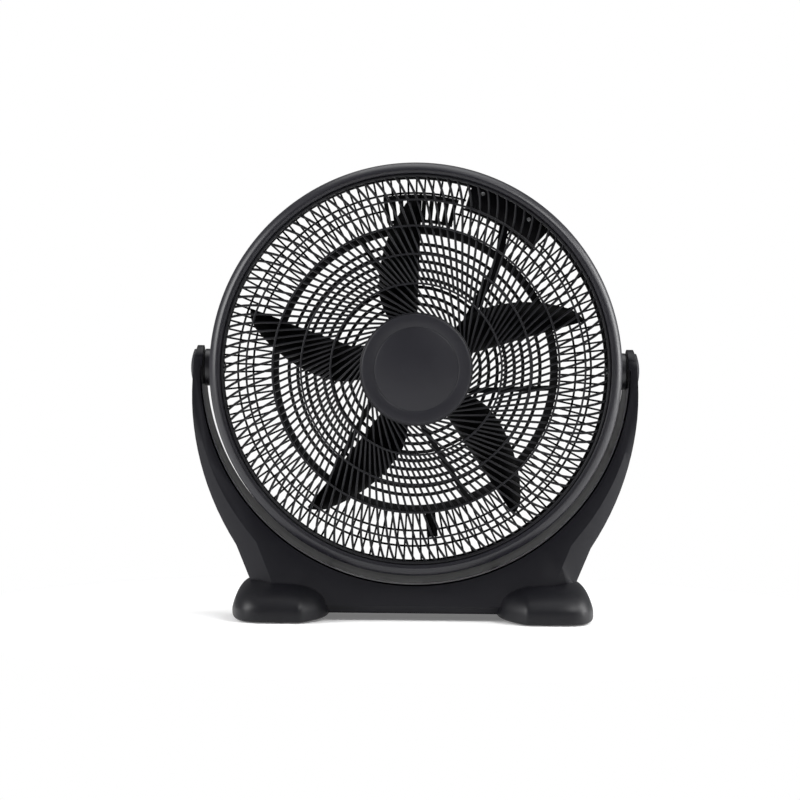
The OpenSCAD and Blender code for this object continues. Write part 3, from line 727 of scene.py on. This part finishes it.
def rounded(low_r: float, high_r: float, back: float, front: float, cut: float) -> Profile:
    """A rectangular section with its four corners cut round.

    Args:
        low_r: inner radius.
        high_r: outer radius.
        back: rear face.
        front: front face.
        cut: size of the corners.

    Returns:
        Radius and reach of the twelve vertices.
    """
    corners = ((low_r, back, 180), (high_r, back, 270), (high_r, front, 0), (low_r, front, 90))
    points = []
    for r, z, first in corners:
        middle = (r + (cut if r == low_r else -cut), z + (cut if z == back else -cut))
        for step in (0, 45, 90):
            dr, dz = polar(cut, first + step)
            points.append((middle[0] + dr, middle[1] + dz))
    return points


def turn_selection(angle: float, hinge: Point) -> None:
    """Turns what is selected about the z axis.

    Args:
        angle: radians, counter-clockwise.
        hinge: the point that stays.
    """
    bpy.ops.transform.rotate(value=-angle, orient_axis="Z", center_override=hinge)


# --- Front guard ------------------------------------------------------------------------


@dataclass(frozen=True)
class FrontGuard:
    """The swirl guard: long and short ribs that run past the hub and bend at the rim."""

    long_ribs: int = 58
    width: float = 2.6 * MM
    depth: float = 7.0 * MM
    offset: float = 56.0 * MM
    bend_from: float = 205.0 * MM
    bend_radius: float = 125.0 * MM
    bend_step: float = 3.7
    bend_steps: int = 5
    mean_turn: float = -25.0
    plate_r: float = 70.0 * MM
    short_r: float = 106.0 * MM
    ring_steps: tuple[float, ...] = (0.0, 36.7 * MM, 72.0 * MM, 104.5 * MM)
    ring_width: float = 2.4 * MM
    ring_depth: float = 4.5 * MM
    ring_corner: float = 0.7 * MM
    ring_faces: int = 180
    edge_r: float = 242.7 * MM
    edge_width: float = 3.5 * MM
    edge_front: float = 66.0 * MM
    edge_back: float = 57.0 * MM
    edge_faces: int = 256
    plate_depth: float = 5.0 * MM
    plate_faces: int = 128
    rise: float = 18.0 * MM
    rounding: float = 1.1 * MM

    def front_at(self, radius: float) -> float:
        """Reach of the guard's front at a radius."""
        return self.edge_front + self.rise * (self.edge_r - radius) / (self.edge_r - self.plate_r)

    def _long_front_edge(self, a: Vector, b: Vector, fold: float) -> bool:
        """Whether an edge runs along the rib's front, so that it gets a round."""
        at_front = min(a.z, b.z) > self.depth * 0.99
        return at_front and fold > 60 and (a - b).length > self.width * 1.5

    def _rib(self, start_r: float) -> Shape:
        """One rib, extruded along its line, with a rounded front.

        Args:
            start_r: radius where it starts.

        Returns:
            The rib in its place beside the right-hand axis.
        """
        start = math.sqrt(start_r**2 - self.offset**2)
        bend = math.sqrt(self.bend_from**2 - self.offset**2)
        half = self.width / 2
        rib = Shape.block(
            "rib", (start, -self.offset - half, 0.0), (bend, -self.offset + half, self.depth)
        )
        with rib.edit():
            rib.pick_faces(lambda middle, normal: normal.x > 0.9)
            for step in range(1, self.bend_steps + 1):
                b0, b1 = (math.radians(self.bend_step * k) for k in (step - 1, step))
                bpy.ops.mesh.extrude_region_move(
                    TRANSFORM_OT_translate={
                        "value": (
                            self.bend_radius * (math.sin(b1) - math.sin(b0)),
                            self.bend_radius * (math.cos(b0) - math.cos(b1)),
                            0.0,
                        )
                    }
                )
                hinge = (
                    bend + self.bend_radius * math.sin(b1),
                    -self.offset + self.bend_radius * (1 - math.cos(b1)),
                    self.depth / 2,
                )
                turn_selection(b1 - b0, hinge)
            rib.pick_edges(self._long_front_edge)
            bpy.ops.mesh.bevel(offset=self.rounding, segments=3, affect="EDGES")
        turn = Matrix.Rotation(math.radians(self.mean_turn), 4, "Z")
        slope = math.atan(self.rise / (self.edge_r - self.plate_r))
        tilt = Matrix.Rotation(slope, 4, "Y")
        lift = self.front_at(start_r) - self.depth
        lift += (
            start * math.cos(math.radians(self.mean_turn))
            + self.offset * math.sin(math.radians(self.mean_turn))
        ) * math.sin(slope)
        return rib.move(Matrix.Translation((0, 0, lift)) @ turn @ tilt @ turn.inverted())

    def build(self) -> None:
        """Builds the ribs, the rings and the hub plate as one moulding."""
        step = math.tau / self.long_ribs
        pieces = []
        for start_r, shift in ((self.plate_r - MM, 0.0), (self.short_r, 0.5)):
            rib = self._rib(start_r)
            pieces += rib.copies(
                HEAD @ Matrix.Rotation(step * (k + shift), 4, "Z") for k in range(self.long_ribs)
            )
            rib.remove()
        for offset in self.ring_steps:
            r, front = self.short_r + offset, self.front_at(self.short_r + offset) - MM
            half = self.ring_width / 2
            section = rounded(
                r - half, r + half, front - self.ring_depth, front, self.ring_corner
            )
            pieces.append(Shape.turned("ring", section, self.ring_faces).move(HEAD))
        edge = rounded(
            self.edge_r - self.edge_width, self.edge_r, self.edge_back, self.edge_front, MM
        )
        pieces.append(Shape.turned("edge", edge, self.edge_faces).move(HEAD))
        front = self.front_at(self.plate_r) - MM
        plate = [(0, front - self.plate_depth), (self.plate_r, front - self.plate_depth),
                 (self.plate_r, front - MM), (self.plate_r - MM, front), (0, front)]
        pieces.append(
            Shape.turned("plate", plate, self.plate_faces, closed=False).move(HEAD)
        )
        guard = pieces[0].join(pieces[1:])
        guard.object.name = "swirl_guard"
        guard.finish(GUARD, Body.HEAD, "front_grille", slot="guard_plastic", smooth=50.0)


# --- Hub cap and drum -------------------------------------------------------------------


@dataclass(frozen=True)
class HubCap:
    """The plain cap on the middle of the guard, with one sunk circle."""

    radius: float = 68.0 * MM
    back: float = 83.0 * MM
    thickness: float = 4.5 * MM
    corner: float = 2.5 * MM
    circle: float = 52.0 * MM
    faces: int = 160
    sunk: ClassVar[Profile] = [
        (1.4, 0.0), (1.0, 0.25), (0.5, 0.6), (0.0, 0.7), (-0.5, 0.6), (-1.0, 0.25), (-1.4, 0.0),
    ]

    def build(self) -> None:
        """Spins the cap."""
        front = self.back + self.thickness
        points = [(0.0, self.back), (self.radius, self.back)]
        for angle in range(0, 91, 15):
            dr, dz = polar(self.corner, angle)
            points.append((self.radius - self.corner + dr, front - self.corner + dz))
        for r, drop in self.sunk:
            points.append((self.circle + r * MM, front - drop * MM))
        points.append((0.0, front))
        cap = Shape.turned("cap_on_hub", points, self.faces, closed=False).move(HEAD)
        cap.finish(TRIM, Body.HEAD, "hub_cap", slot="trim_plastic")


@dataclass(frozen=True)
class Drum:
    """The drum with its shouldered front rim, the pivot collars and the screw ears."""

    wall_r: float = 253.0 * MM
    rim_r: float = 257.0 * MM
    roll: float = 7.0 * MM
    shoulder: float = 15.6 * MM
    crest_tilt: int = 25
    ledge_in: float = 10.2 * MM
    lip_depth: float = 9.0 * MM
    wall: float = 3.0 * MM
    front: float = 72.0 * MM
    back: float = 50.0 * MM
    collar_r: float = 23.5 * MM
    collar_out: float = 266.3 * MM
    bore_r: float = 9.0 * MM
    faces: int = 256
    ear_r: float = 254.0 * MM
    ears: int = 8

    def _section(self) -> Profile:
        """Radius and reach of the drum's section."""
        wall_in, middle = self.wall_r - self.wall, self.rim_r - self.roll
        lip = self.front - self.roll - self.lip_depth
        points = [(wall_in, -self.back), (self.wall_r - MM, -self.back),
                  (self.wall_r, -self.back + MM), (self.wall_r, lip - 5 * MM),
                  (self.wall_r + 0.6 * MM, lip - 3 * MM), (self.rim_r - 0.6 * MM, lip - MM),
                  (self.rim_r, lip + MM)]
        # The shoulder, from the rim's widest place to its crest.
        rise = self.shoulder * math.cos(math.radians(self.crest_tilt))
        for tilt in range(90, self.crest_tilt - 1, -5):
            dz, dr = polar(self.shoulder, tilt)
            points.append((self.rim_r - self.shoulder + dr, self.front - rise + dz))
        # The small ledge inside the crest, and the way down behind the lip.
        ledge = self.rim_r - self.ledge_in
        points += [(ledge, self.front - 0.1 * MM), (ledge - 0.5 * MM, self.front - 1.6 * MM),
                   (middle - self.roll + 0.8 * MM, self.front - 2.2 * MM),
                   (middle - self.roll, self.front - 3.2 * MM)]
        points += [(middle - self.roll, lip), (middle - self.roll + self.wall, lip)]
        for angle in range(180, -1, -20):
            dr, dz = polar(self.roll - self.wall, angle)
            points.append((middle + dr, self.front - self.roll + dz))
        points += [(self.rim_r - self.wall, lip + MM), (wall_in, lip - 3 * MM)]
        return points

    def build(self) -> None:
        """Spins the drum and adds its collars and ears."""
        drum = Shape.turned("drum_shell", self._section(), self.faces).move(HEAD)
        extras = []
        collar = [(self.bore_r, 0.0), (self.collar_r, 0.0),
                  (self.collar_r, self.collar_out - self.wall_r + 2 * MM),
                  (self.collar_r - MM, self.collar_out - self.wall_r + 3 * MM),
                  (self.bore_r, self.collar_out - self.wall_r + 3 * MM)]
        for side in (-1, 1):
            place = Matrix.Translation((side * (self.wall_r - 3 * MM), 0, 0))
            place = place @ Matrix.Rotation(side * math.pi / 2, 4, "Y")
            extras.append(Shape.turned("collar", collar, 64).move(HEAD @ place))
        ear = [(0.0, -self.back + 22 * MM), (3.5 * MM, -self.back + 22 * MM),
               (4.5 * MM, -self.back + 20 * MM), (4.5 * MM, -self.back), (0.0, -self.back)]
        shape = Shape.turned("ear", ear, 24, closed=False)
        extras += shape.copies(
            HEAD
            @ Matrix.Rotation(math.tau * (k + 0.5) / self.ears, 4, "Z")
            @ Matrix.Translation((self.ear_r, 0, 0))
            for k in range(self.ears)
        )
        shape.remove()
        drum.join(extras)
        # The drum takes the lighter rim finish, whose colour paints in the rim's sheen.
        drum.finish(RIM_PAINTED_SHEEN, Body.HEAD, "drum")


# --- Cradle and shoes -------------------------------------------------------------------


@dataclass(frozen=True)
class Cradle:
    """The U-shaped stand: a front shell with a shadow groove and a drawn-in well."""

    well_r: float = 268.0 * MM
    sweep_r: float = 267.9 * MM
    groove: float = 3.0 * MM
    skin: float = 0.9 * MM
    back: float = 48.5 * MM
    lobe_r: float = 28.0 * MM
    foot_half: float = 50.0 * MM
    slope_drop: float = 250.0 * MM
    from_pivots: float = 4.5
    ease: float = 1.3 * MM
    skins: float = 3.2 * MM
    front_reach: float = 20.0 * MM
    set_back: float = 1.2 * MM
    wall_steps: int = 12
    wall_faces: int = 170

    def wall_at(self, z: float) -> float:
        """Radius of the well's wall at a reach: just clear of the head's sweep."""
        return min(self.well_r - 0.5 * MM, math.sqrt(self.sweep_r**2 - z**2) + 0.2 * MM)

    def face_at(self, height: float) -> float:
        """Reach of the front face at a height over the axis."""
        fall = min(1.0, max(0.0, -height) / self.slope_drop)
        return self.lobe_r + (self.foot_half - self.lobe_r) * fall

    def _front(self) -> None:
        """Opens the front shell by the groove's width and eases its edges."""
        shell = Shape.of_node("cradle_front", "cradle_face")

        def widen(place: Vector) -> Vector:
            """Moves the well's two skins outwards."""
            x, up = place.x, place.z - AXIS_Z
            radius = math.hypot(x, up)
            if up > 0 or not self.well_r - MM < radius < self.well_r + self.skins:
                return place
            scale = (radius + self.groove) / radius
            return Vector((x * scale, place.y, AXIS_Z + up * scale))

        shell.reshape(widen)
        shell.ease(self.ease, segments=3, sharp=40.0)
        shell.finish(BODY, Body.STAND, "cradle_front", smooth=24.0)

    def _well(self) -> None:
        """Spins the well's wall, which draws in behind the rim as the head's sweep allows."""
        inner = []
        for step in range(self.wall_steps + 1):
            z = -self.back + step * self.back / self.wall_steps
            inner.append((self.wall_at(z), z))
        inner += [(self.wall_at(0.0), z) for z in (5 * MM, 12 * MM, self.front_reach)]
        outer = [(self.well_r + self.skin, z) for z in (self.front_reach, 0.0, -self.back)]
        span = 180.0 - 2 * self.from_pivots
        wall = Shape.turned(
            "cradle_well",
            inner + outer,
            self.wall_faces,
            start=180.0 + self.from_pivots,
            angle=span,
        )

        def reach(place: Vector) -> Vector:
            """Fits both ends to the arm's taper and the inner skin to the head's sweep."""
            radius = math.hypot(place.x, place.y)
            reached = self.face_at(place.y) - self.set_back
            z = place.z * reached / (self.front_reach if place.z > 0 else self.back)
            if place.z < 0 and radius < self.well_r + 0.5 * self.skin:
                scale = self.wall_at(z) / radius
                return Vector((place.x * scale, place.y * scale, z))
            return Vector((place.x, place.y, z))

        wall.reshape(reach).move(HEAD)
        # The lighter well finish paints in the light that falls on the wall's upward faces.
        wall.finish(WELL_PAINTED_LIGHT, Body.STAND, smooth=60.0)

    def build(self) -> None:
        """Builds the front shell and the well."""
        self._front()
        self._well()


@dataclass(frozen=True)
class Shoe:
    """One moulded shoe: a low loaf with a flat sole and a boat-like inner end."""

    middle_x: float = 167.0 * MM
    outward: float = 60.5 * MM
    inward: float = 63.0 * MM
    half_depth: float = 95.0 * MM
    waist: float = 14.0 * MM
    crown: float = 51.0 * MM
    crown_fall: float = 9.0 * MM
    sole: float = 0.5 * MM
    prow_from: float = 0.42
    prow_cut: float = 0.46
    prow_sole: float = 0.35
    prow_power: float = 1.15
    sole_power: float = 1.5
    plan_out: tuple[float, float] = (3.8, 3.0)
    rise_out: tuple[float, float] = (6.0, 1.15)
    fall_out: tuple[float, float] = (7.0, 3.0)
    rise_in: tuple[float, float] = (9.0, 2.0)
    end_in: tuple[float, float] = (14.0, 3.0)
    top_breadth: float = 0.88
    top_height: float = 1.1
    boxy: float = 0.15
    seam: float = 0.01 * MM

    @staticmethod
    def _closing(t: float, power: float, root: float) -> float:
        """Falls from 1 in the middle to 0 at the end along a superellipse."""
        return (1 - t**power) ** (1 / root)

    def _place(self, ball: Vector) -> Vector:
        """Takes a point of the unit ball to the shoe's skin.

        Args:
            ball: the point on the ball.

        Returns:
            The point on the right-hand shoe.
        """
        t = min(1.0, abs(ball.x))
        out = ball.x > 0
        x = self.middle_x + (self.outward if out else -self.inward) * t
        if out:
            plan = self._closing(t, *self.plan_out)
            crest, rise = self.crown, self._closing(t, *self.rise_out)
            fall = self._closing(t, *self.fall_out)
        else:
            prow = max(0.0, (t - self.prow_from) / (1 - self.prow_from))
            end = self._closing(t, *self.end_in)
            plan = (1 - self.prow_cut * prow**self.prow_power) * end
            crest = self.crown - self.crown_fall * t**self.sole_power
            rise = self._closing(t, *self.rise_in)
            fall = (1 - self.prow_sole * prow**self.sole_power) * end
        ring = math.hypot(ball.y, ball.z) or 1.0
        c, s = ball.y / ring, ball.z / ring
        if s > 0:
            y = self.half_depth * plan * math.copysign(abs(c) ** self.top_breadth, c)
            z = self.waist + (crest - self.waist) * rise * s**self.top_height
        else:
            y = self.half_depth * plan * math.copysign(abs(c) ** self.boxy, c)
            z = self.waist - (self.waist - self.sole) * fall * abs(s) ** self.boxy
        return Vector((x, y, z))

    def build(self, side: int, node: str, name: str) -> None:
        """Shapes a shoe.

        Args:
            side: 1 for the right-hand shoe, -1 for the left-hand one.
            node: the CAD node that it stands for.
            name: the piece's name.
        """
        shoe = Shape.ball(name, 72, 56).reshape(self._place)
        shoe.move(Matrix.Scale(side, 4, Vector((1, 0, 0))))
        with shoe.edit():
            bpy.ops.mesh.select_all(action="SELECT")
            bpy.ops.mesh.remove_doubles(threshold=self.seam)
            bpy.ops.mesh.normals_make_consistent(inside=False)
        shoe.finish(GUARD, Body.STAND, node, smooth=55.0)


# --- Pieces with eased edges ------------------------------------------------------------


@dataclass(frozen=True)
class Eased:
    """A CAD node shown with the small edge rounds that a mould or a press leaves."""

    node: str
    name: str
    finish: Finish
    body: Body
    slot: str
    ease: float = 0.4 * MM
    segments: int = 2
    sharp: float = 38.0
    smooth: float = 40.0

    def build(self) -> None:
        """Copies the node, clears its flat facets and rounds its edges."""
        piece = Shape.of_node(self.node, self.name)
        piece.ease(self.ease, self.segments, self.sharp)
        piece.finish(self.finish, self.body, self.node, slot=self.slot, smooth=self.smooth)


# --- CAD nodes that keep their own shape ------------------------------------------------


@dataclass(frozen=True)
class Dressing:
    """Dresses the CAD nodes whose solids are shown as they are."""

    PLAN: ClassVar[dict[Finish, tuple[str, ...]]] = {
        BODY: ("drum", "switch_box", "control_panel", "lead_conduit", "cradle_body",
               "cradle_front", "shoe_left", "shoe_right", "motor_cover"),
        GUARD: ("front_grille", "rear_grille"),
        TRIM: ("hub_cap", "speed_knob", "pivot_cap_left", "pivot_cap_right", "blade_nut"),
        BLADE: ("fan_blade",),
        PART: ("rotary_switch", "capacitor"),
        ZINC: ("rear_grille_screws", "switch_box_screws", "switch_spindle", "motor_bolts",
               "motor_mount_screws", "motor_cover_screws", "motor_shaft", "blade_pin",
               "pivot_bolt_left", "pivot_bolt_right", "pivot_nuts", "cradle_screws",
               "shoe_screws"),
        MOTOR_PAINT: ("motor_rear_shell", "motor_front_shell"),
        SHEET: ("stator", "rotor_core"),
        BRONZE: ("rear_bearing", "front_bearing"),
        COPPER: ("windings",),
        RUBBER: ("cord_gland", "motor_lead", "friction_washers", "shoe_pads"),
    }

    def dress(self) -> None:
        """Gives each node its finish."""
        for finish, names in self.PLAN.items():
            for name in names:
                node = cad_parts[name]
                node.data.materials.clear()
                node.data.materials.append(finish.material())
                LOG.info("dressed %s as %s", name, finish.name)


EASED = (
    Eased("switch_box", "switch_housing", BODY, Body.HEAD, "body_plastic", 0.8 * MM, 3),
    Eased("control_panel", "rear_panel", BODY, Body.HEAD, "body_plastic", 0.6 * MM, 3),
    Eased("lead_conduit", "lead_channel", BODY, Body.HEAD, "body_plastic", 0.6 * MM),
    Eased("motor_cover", "vented_cover", BODY, Body.HEAD, "body_plastic", 0.6 * MM, 3),
    Eased("speed_knob", "knob", TRIM, Body.KNOB, "trim_plastic", 0.5 * MM, 3),
    Eased("cord_gland", "gland", RUBBER, Body.HEAD, "rubber", 0.4 * MM, 3),
    Eased("pivot_cap_right", "cap_right", TRIM, Body.STAND, "trim_plastic", 0.9 * MM, 3),
    Eased("pivot_cap_left", "cap_left", TRIM, Body.STAND, "trim_plastic", 0.9 * MM, 3),
    Eased("blade_nut", "spinner_nut", TRIM, Body.ROTOR, "trim_plastic", 0.4 * MM),
    Eased("cradle_body", "cradle_rear", BODY, Body.STAND, "body_plastic", 1.6 * MM, 3),
    Eased("shoe_pads", "foot_pads", RUBBER, Body.STAND, "rubber", 0.5 * MM),
    Eased("fan_blade", "impeller", BLADE, Body.ROTOR, "blade_plastic", 0.5 * MM, 2, 50.0, 50.0),
    Eased("rear_grille", "guard_rear", GUARD, Body.HEAD, "guard_plastic", 0.35 * MM, 1),
    Eased("switch_box_screws", "box_screws", ZINC, Body.HEAD, "zinc_steel", 0.15 * MM, 1),
    Eased("rear_grille_screws", "guard_screws", ZINC, Body.HEAD, "zinc_steel", 0.15 * MM, 1),
    Eased("motor_cover_screws", "cover_screws", ZINC, Body.HEAD, "zinc_steel", 0.15 * MM, 1),
    Eased("cradle_screws", "shell_screws", ZINC, Body.STAND, "zinc_steel", 0.15 * MM, 1),
    Eased("shoe_screws", "sole_screws", ZINC, Body.STAND, "zinc_steel", 0.15 * MM, 1),
    Eased("motor_rear_shell", "shell_rear", MOTOR_PAINT, Body.HEAD, "motor_steel", 0.8 * MM, 3),
    Eased("motor_front_shell", "shell_front", MOTOR_PAINT, Body.HEAD, "motor_steel", 0.8 * MM, 3),
)


# --- Studio -----------------------------------------------------------------------------


@dataclass(frozen=True)
class Lamp:
    """One soft area lamp aimed at the fan."""

    name: str
    place: Point
    size: tuple[float, float]
    power: float

    def add(self, target: Vector) -> None:
        """Adds the lamp.

        Args:
            target: the point that it faces.
        """
        data = bpy.data.lights.new(self.name, "AREA")
        data.shape = "RECTANGLE"
        data.size, data.size_y = self.size
        data.energy = self.power
        lamp = bpy.data.objects.new(self.name, data)
        lamp.location = self.place
        lamp.rotation_euler = (target - Vector(self.place)).to_track_quat("-Z", "Y").to_euler()
        bpy.context.scene.collection.objects.link(lamp)


@dataclass(frozen=True)
class Studio:
    """White sweep, soft lamps and the camera."""

    camera_place: Point = (-0.039, -2.85, 0.305)
    target: Point = (-0.019, 0.0, 0.276)
    roll: float = 0.64
    lens: float = 101.0
    sensor: float = 36.0
    floor_size: float = 60.0
    shadow_reach: float = 0.34
    white_from: float = 0.62
    floor_colour: Colour = (0.93, 0.93, 0.93)
    floor_roughness: float = 0.9
    floor_glow: float = 0.16
    ambient: float = 0.2
    lamp_target: Point = (0.0, 0.0, 0.3)
    lamps: tuple[Lamp, ...] = (
        Lamp("key, upper right", (1.6, -1.2, 2.1), (1.2, 1.2), 44.0),
        Lamp("fill, left", (-2.1, -0.7, 1.1), (1.0, 1.6), 54.0),
        Lamp("edge, right", (2.1, 0.2, 0.9), (0.8, 1.6), 52.0),
        Lamp("top", (0.1, 0.3, 2.4), (2.0, 1.4), 26.0),
    )

    def build(self) -> None:
        """Builds world, floor, lamps and camera."""
        scene = bpy.context.scene
        scene.view_settings.view_transform = "Standard"
        self._world(scene)
        self._floor()
        for lamp in self.lamps:
            lamp.add(Vector(self.lamp_target))
        self._camera(scene)
        LOG.info("studio ready")

    def _world(self, scene: bpy.types.Scene) -> None:
        """White for the camera and through glass, softer for light and for reflections.

        Args:
            scene: the scene that gets the world.
        """
        scene.world = bpy.data.worlds.new("studio")
        scene.world.use_nodes = True
        graph = Graph(scene.world.node_tree)
        path = graph.node("ShaderNodeLightPath", output="Is Camera Ray")
        through = graph.node("ShaderNodeLightPath", output="Is Transmission Ray")
        strength = self.ambient + (path + through) * (1.0 - self.ambient)
        light = graph.node(
            "ShaderNodeBackground", inputs={"Color": (1, 1, 1), "Strength": strength}
        )
        graph.node("ShaderNodeOutputWorld", inputs={"Surface": light})

    def _floor(self) -> None:
        """Adds the pale floor.

        It keeps the fan's shadow and glows faintly for every ray. Far off it is plain white,
        for the camera only.
        """
        bpy.ops.mesh.primitive_plane_add(size=self.floor_size, location=(0, 0, 0))
        floor = bpy.context.object
        floor.name = "floor"
        made = bpy.data.materials.new("pale floor")
        made.use_nodes = True
        graph = Graph(made.node_tree)
        near = graph.node(
            "ShaderNodeBsdfPrincipled",
            inputs={
                "Base Color": self.floor_colour,
                "Roughness": self.floor_roughness,
                "Specular IOR Level": 0.0,
                "Emission Color": (1, 1, 1),
                "Emission Strength": self.floor_glow,
            },
        )
        far = graph.node(
            "ShaderNodeEmission", inputs={"Color": (1, 1, 1), "Strength": 1.0}, output="Emission"
        )
        place = graph.node("ShaderNodeTexCoord", output="Object")
        distance = graph.node("ShaderNodeVectorMath", {"operation": "LENGTH"}, {0: place}, "Value")
        fade = graph.node(
            "ShaderNodeMapRange",
            {"interpolation_type": "SMOOTHSTEP"},
            {"Value": distance, "From Min": self.shadow_reach, "From Max": self.white_from},
        )
        camera = graph.node("ShaderNodeLightPath", output="Is Camera Ray")
        shader = graph.node("ShaderNodeMixShader", inputs={0: fade * camera, 1: near, 2: far})
        graph.node("ShaderNodeOutputMaterial", inputs={"Surface": shader})
        floor.data.materials.append(made)

    def _camera(self, scene: bpy.types.Scene) -> None:
        """Adds the camera.

        Args:
            scene: the scene that it films.
        """
        data = bpy.data.cameras.new("camera")
        data.lens = self.lens
        data.sensor_width = self.sensor
        camera = bpy.data.objects.new("camera", data)
        place, target = Vector(self.camera_place), Vector(self.target)
        camera.location = place
        look = (target - place).to_track_quat("-Z", "Y").to_matrix()
        turn = Matrix.Rotation(math.radians(self.roll), 3, "Z")
        camera.rotation_euler = (look @ turn).to_euler()
        scene.collection.objects.link(camera)
        scene.camera = camera


def main() -> None:
    """Dresses the fan and sets the studio."""
    logging.basicConfig(level=logging.INFO, format="%(name)s: %(message)s")
    Dressing().dress()
    FrontGuard().build()
    HubCap().build()
    Drum().build()
    Cradle().build()
    Shoe().build(1, "shoe_right", "shoe_r")
    Shoe().build(-1, "shoe_left", "shoe_l")
    for piece in EASED:
        piece.build()
    Studio().build()


if __name__ == "__main__":
    main()
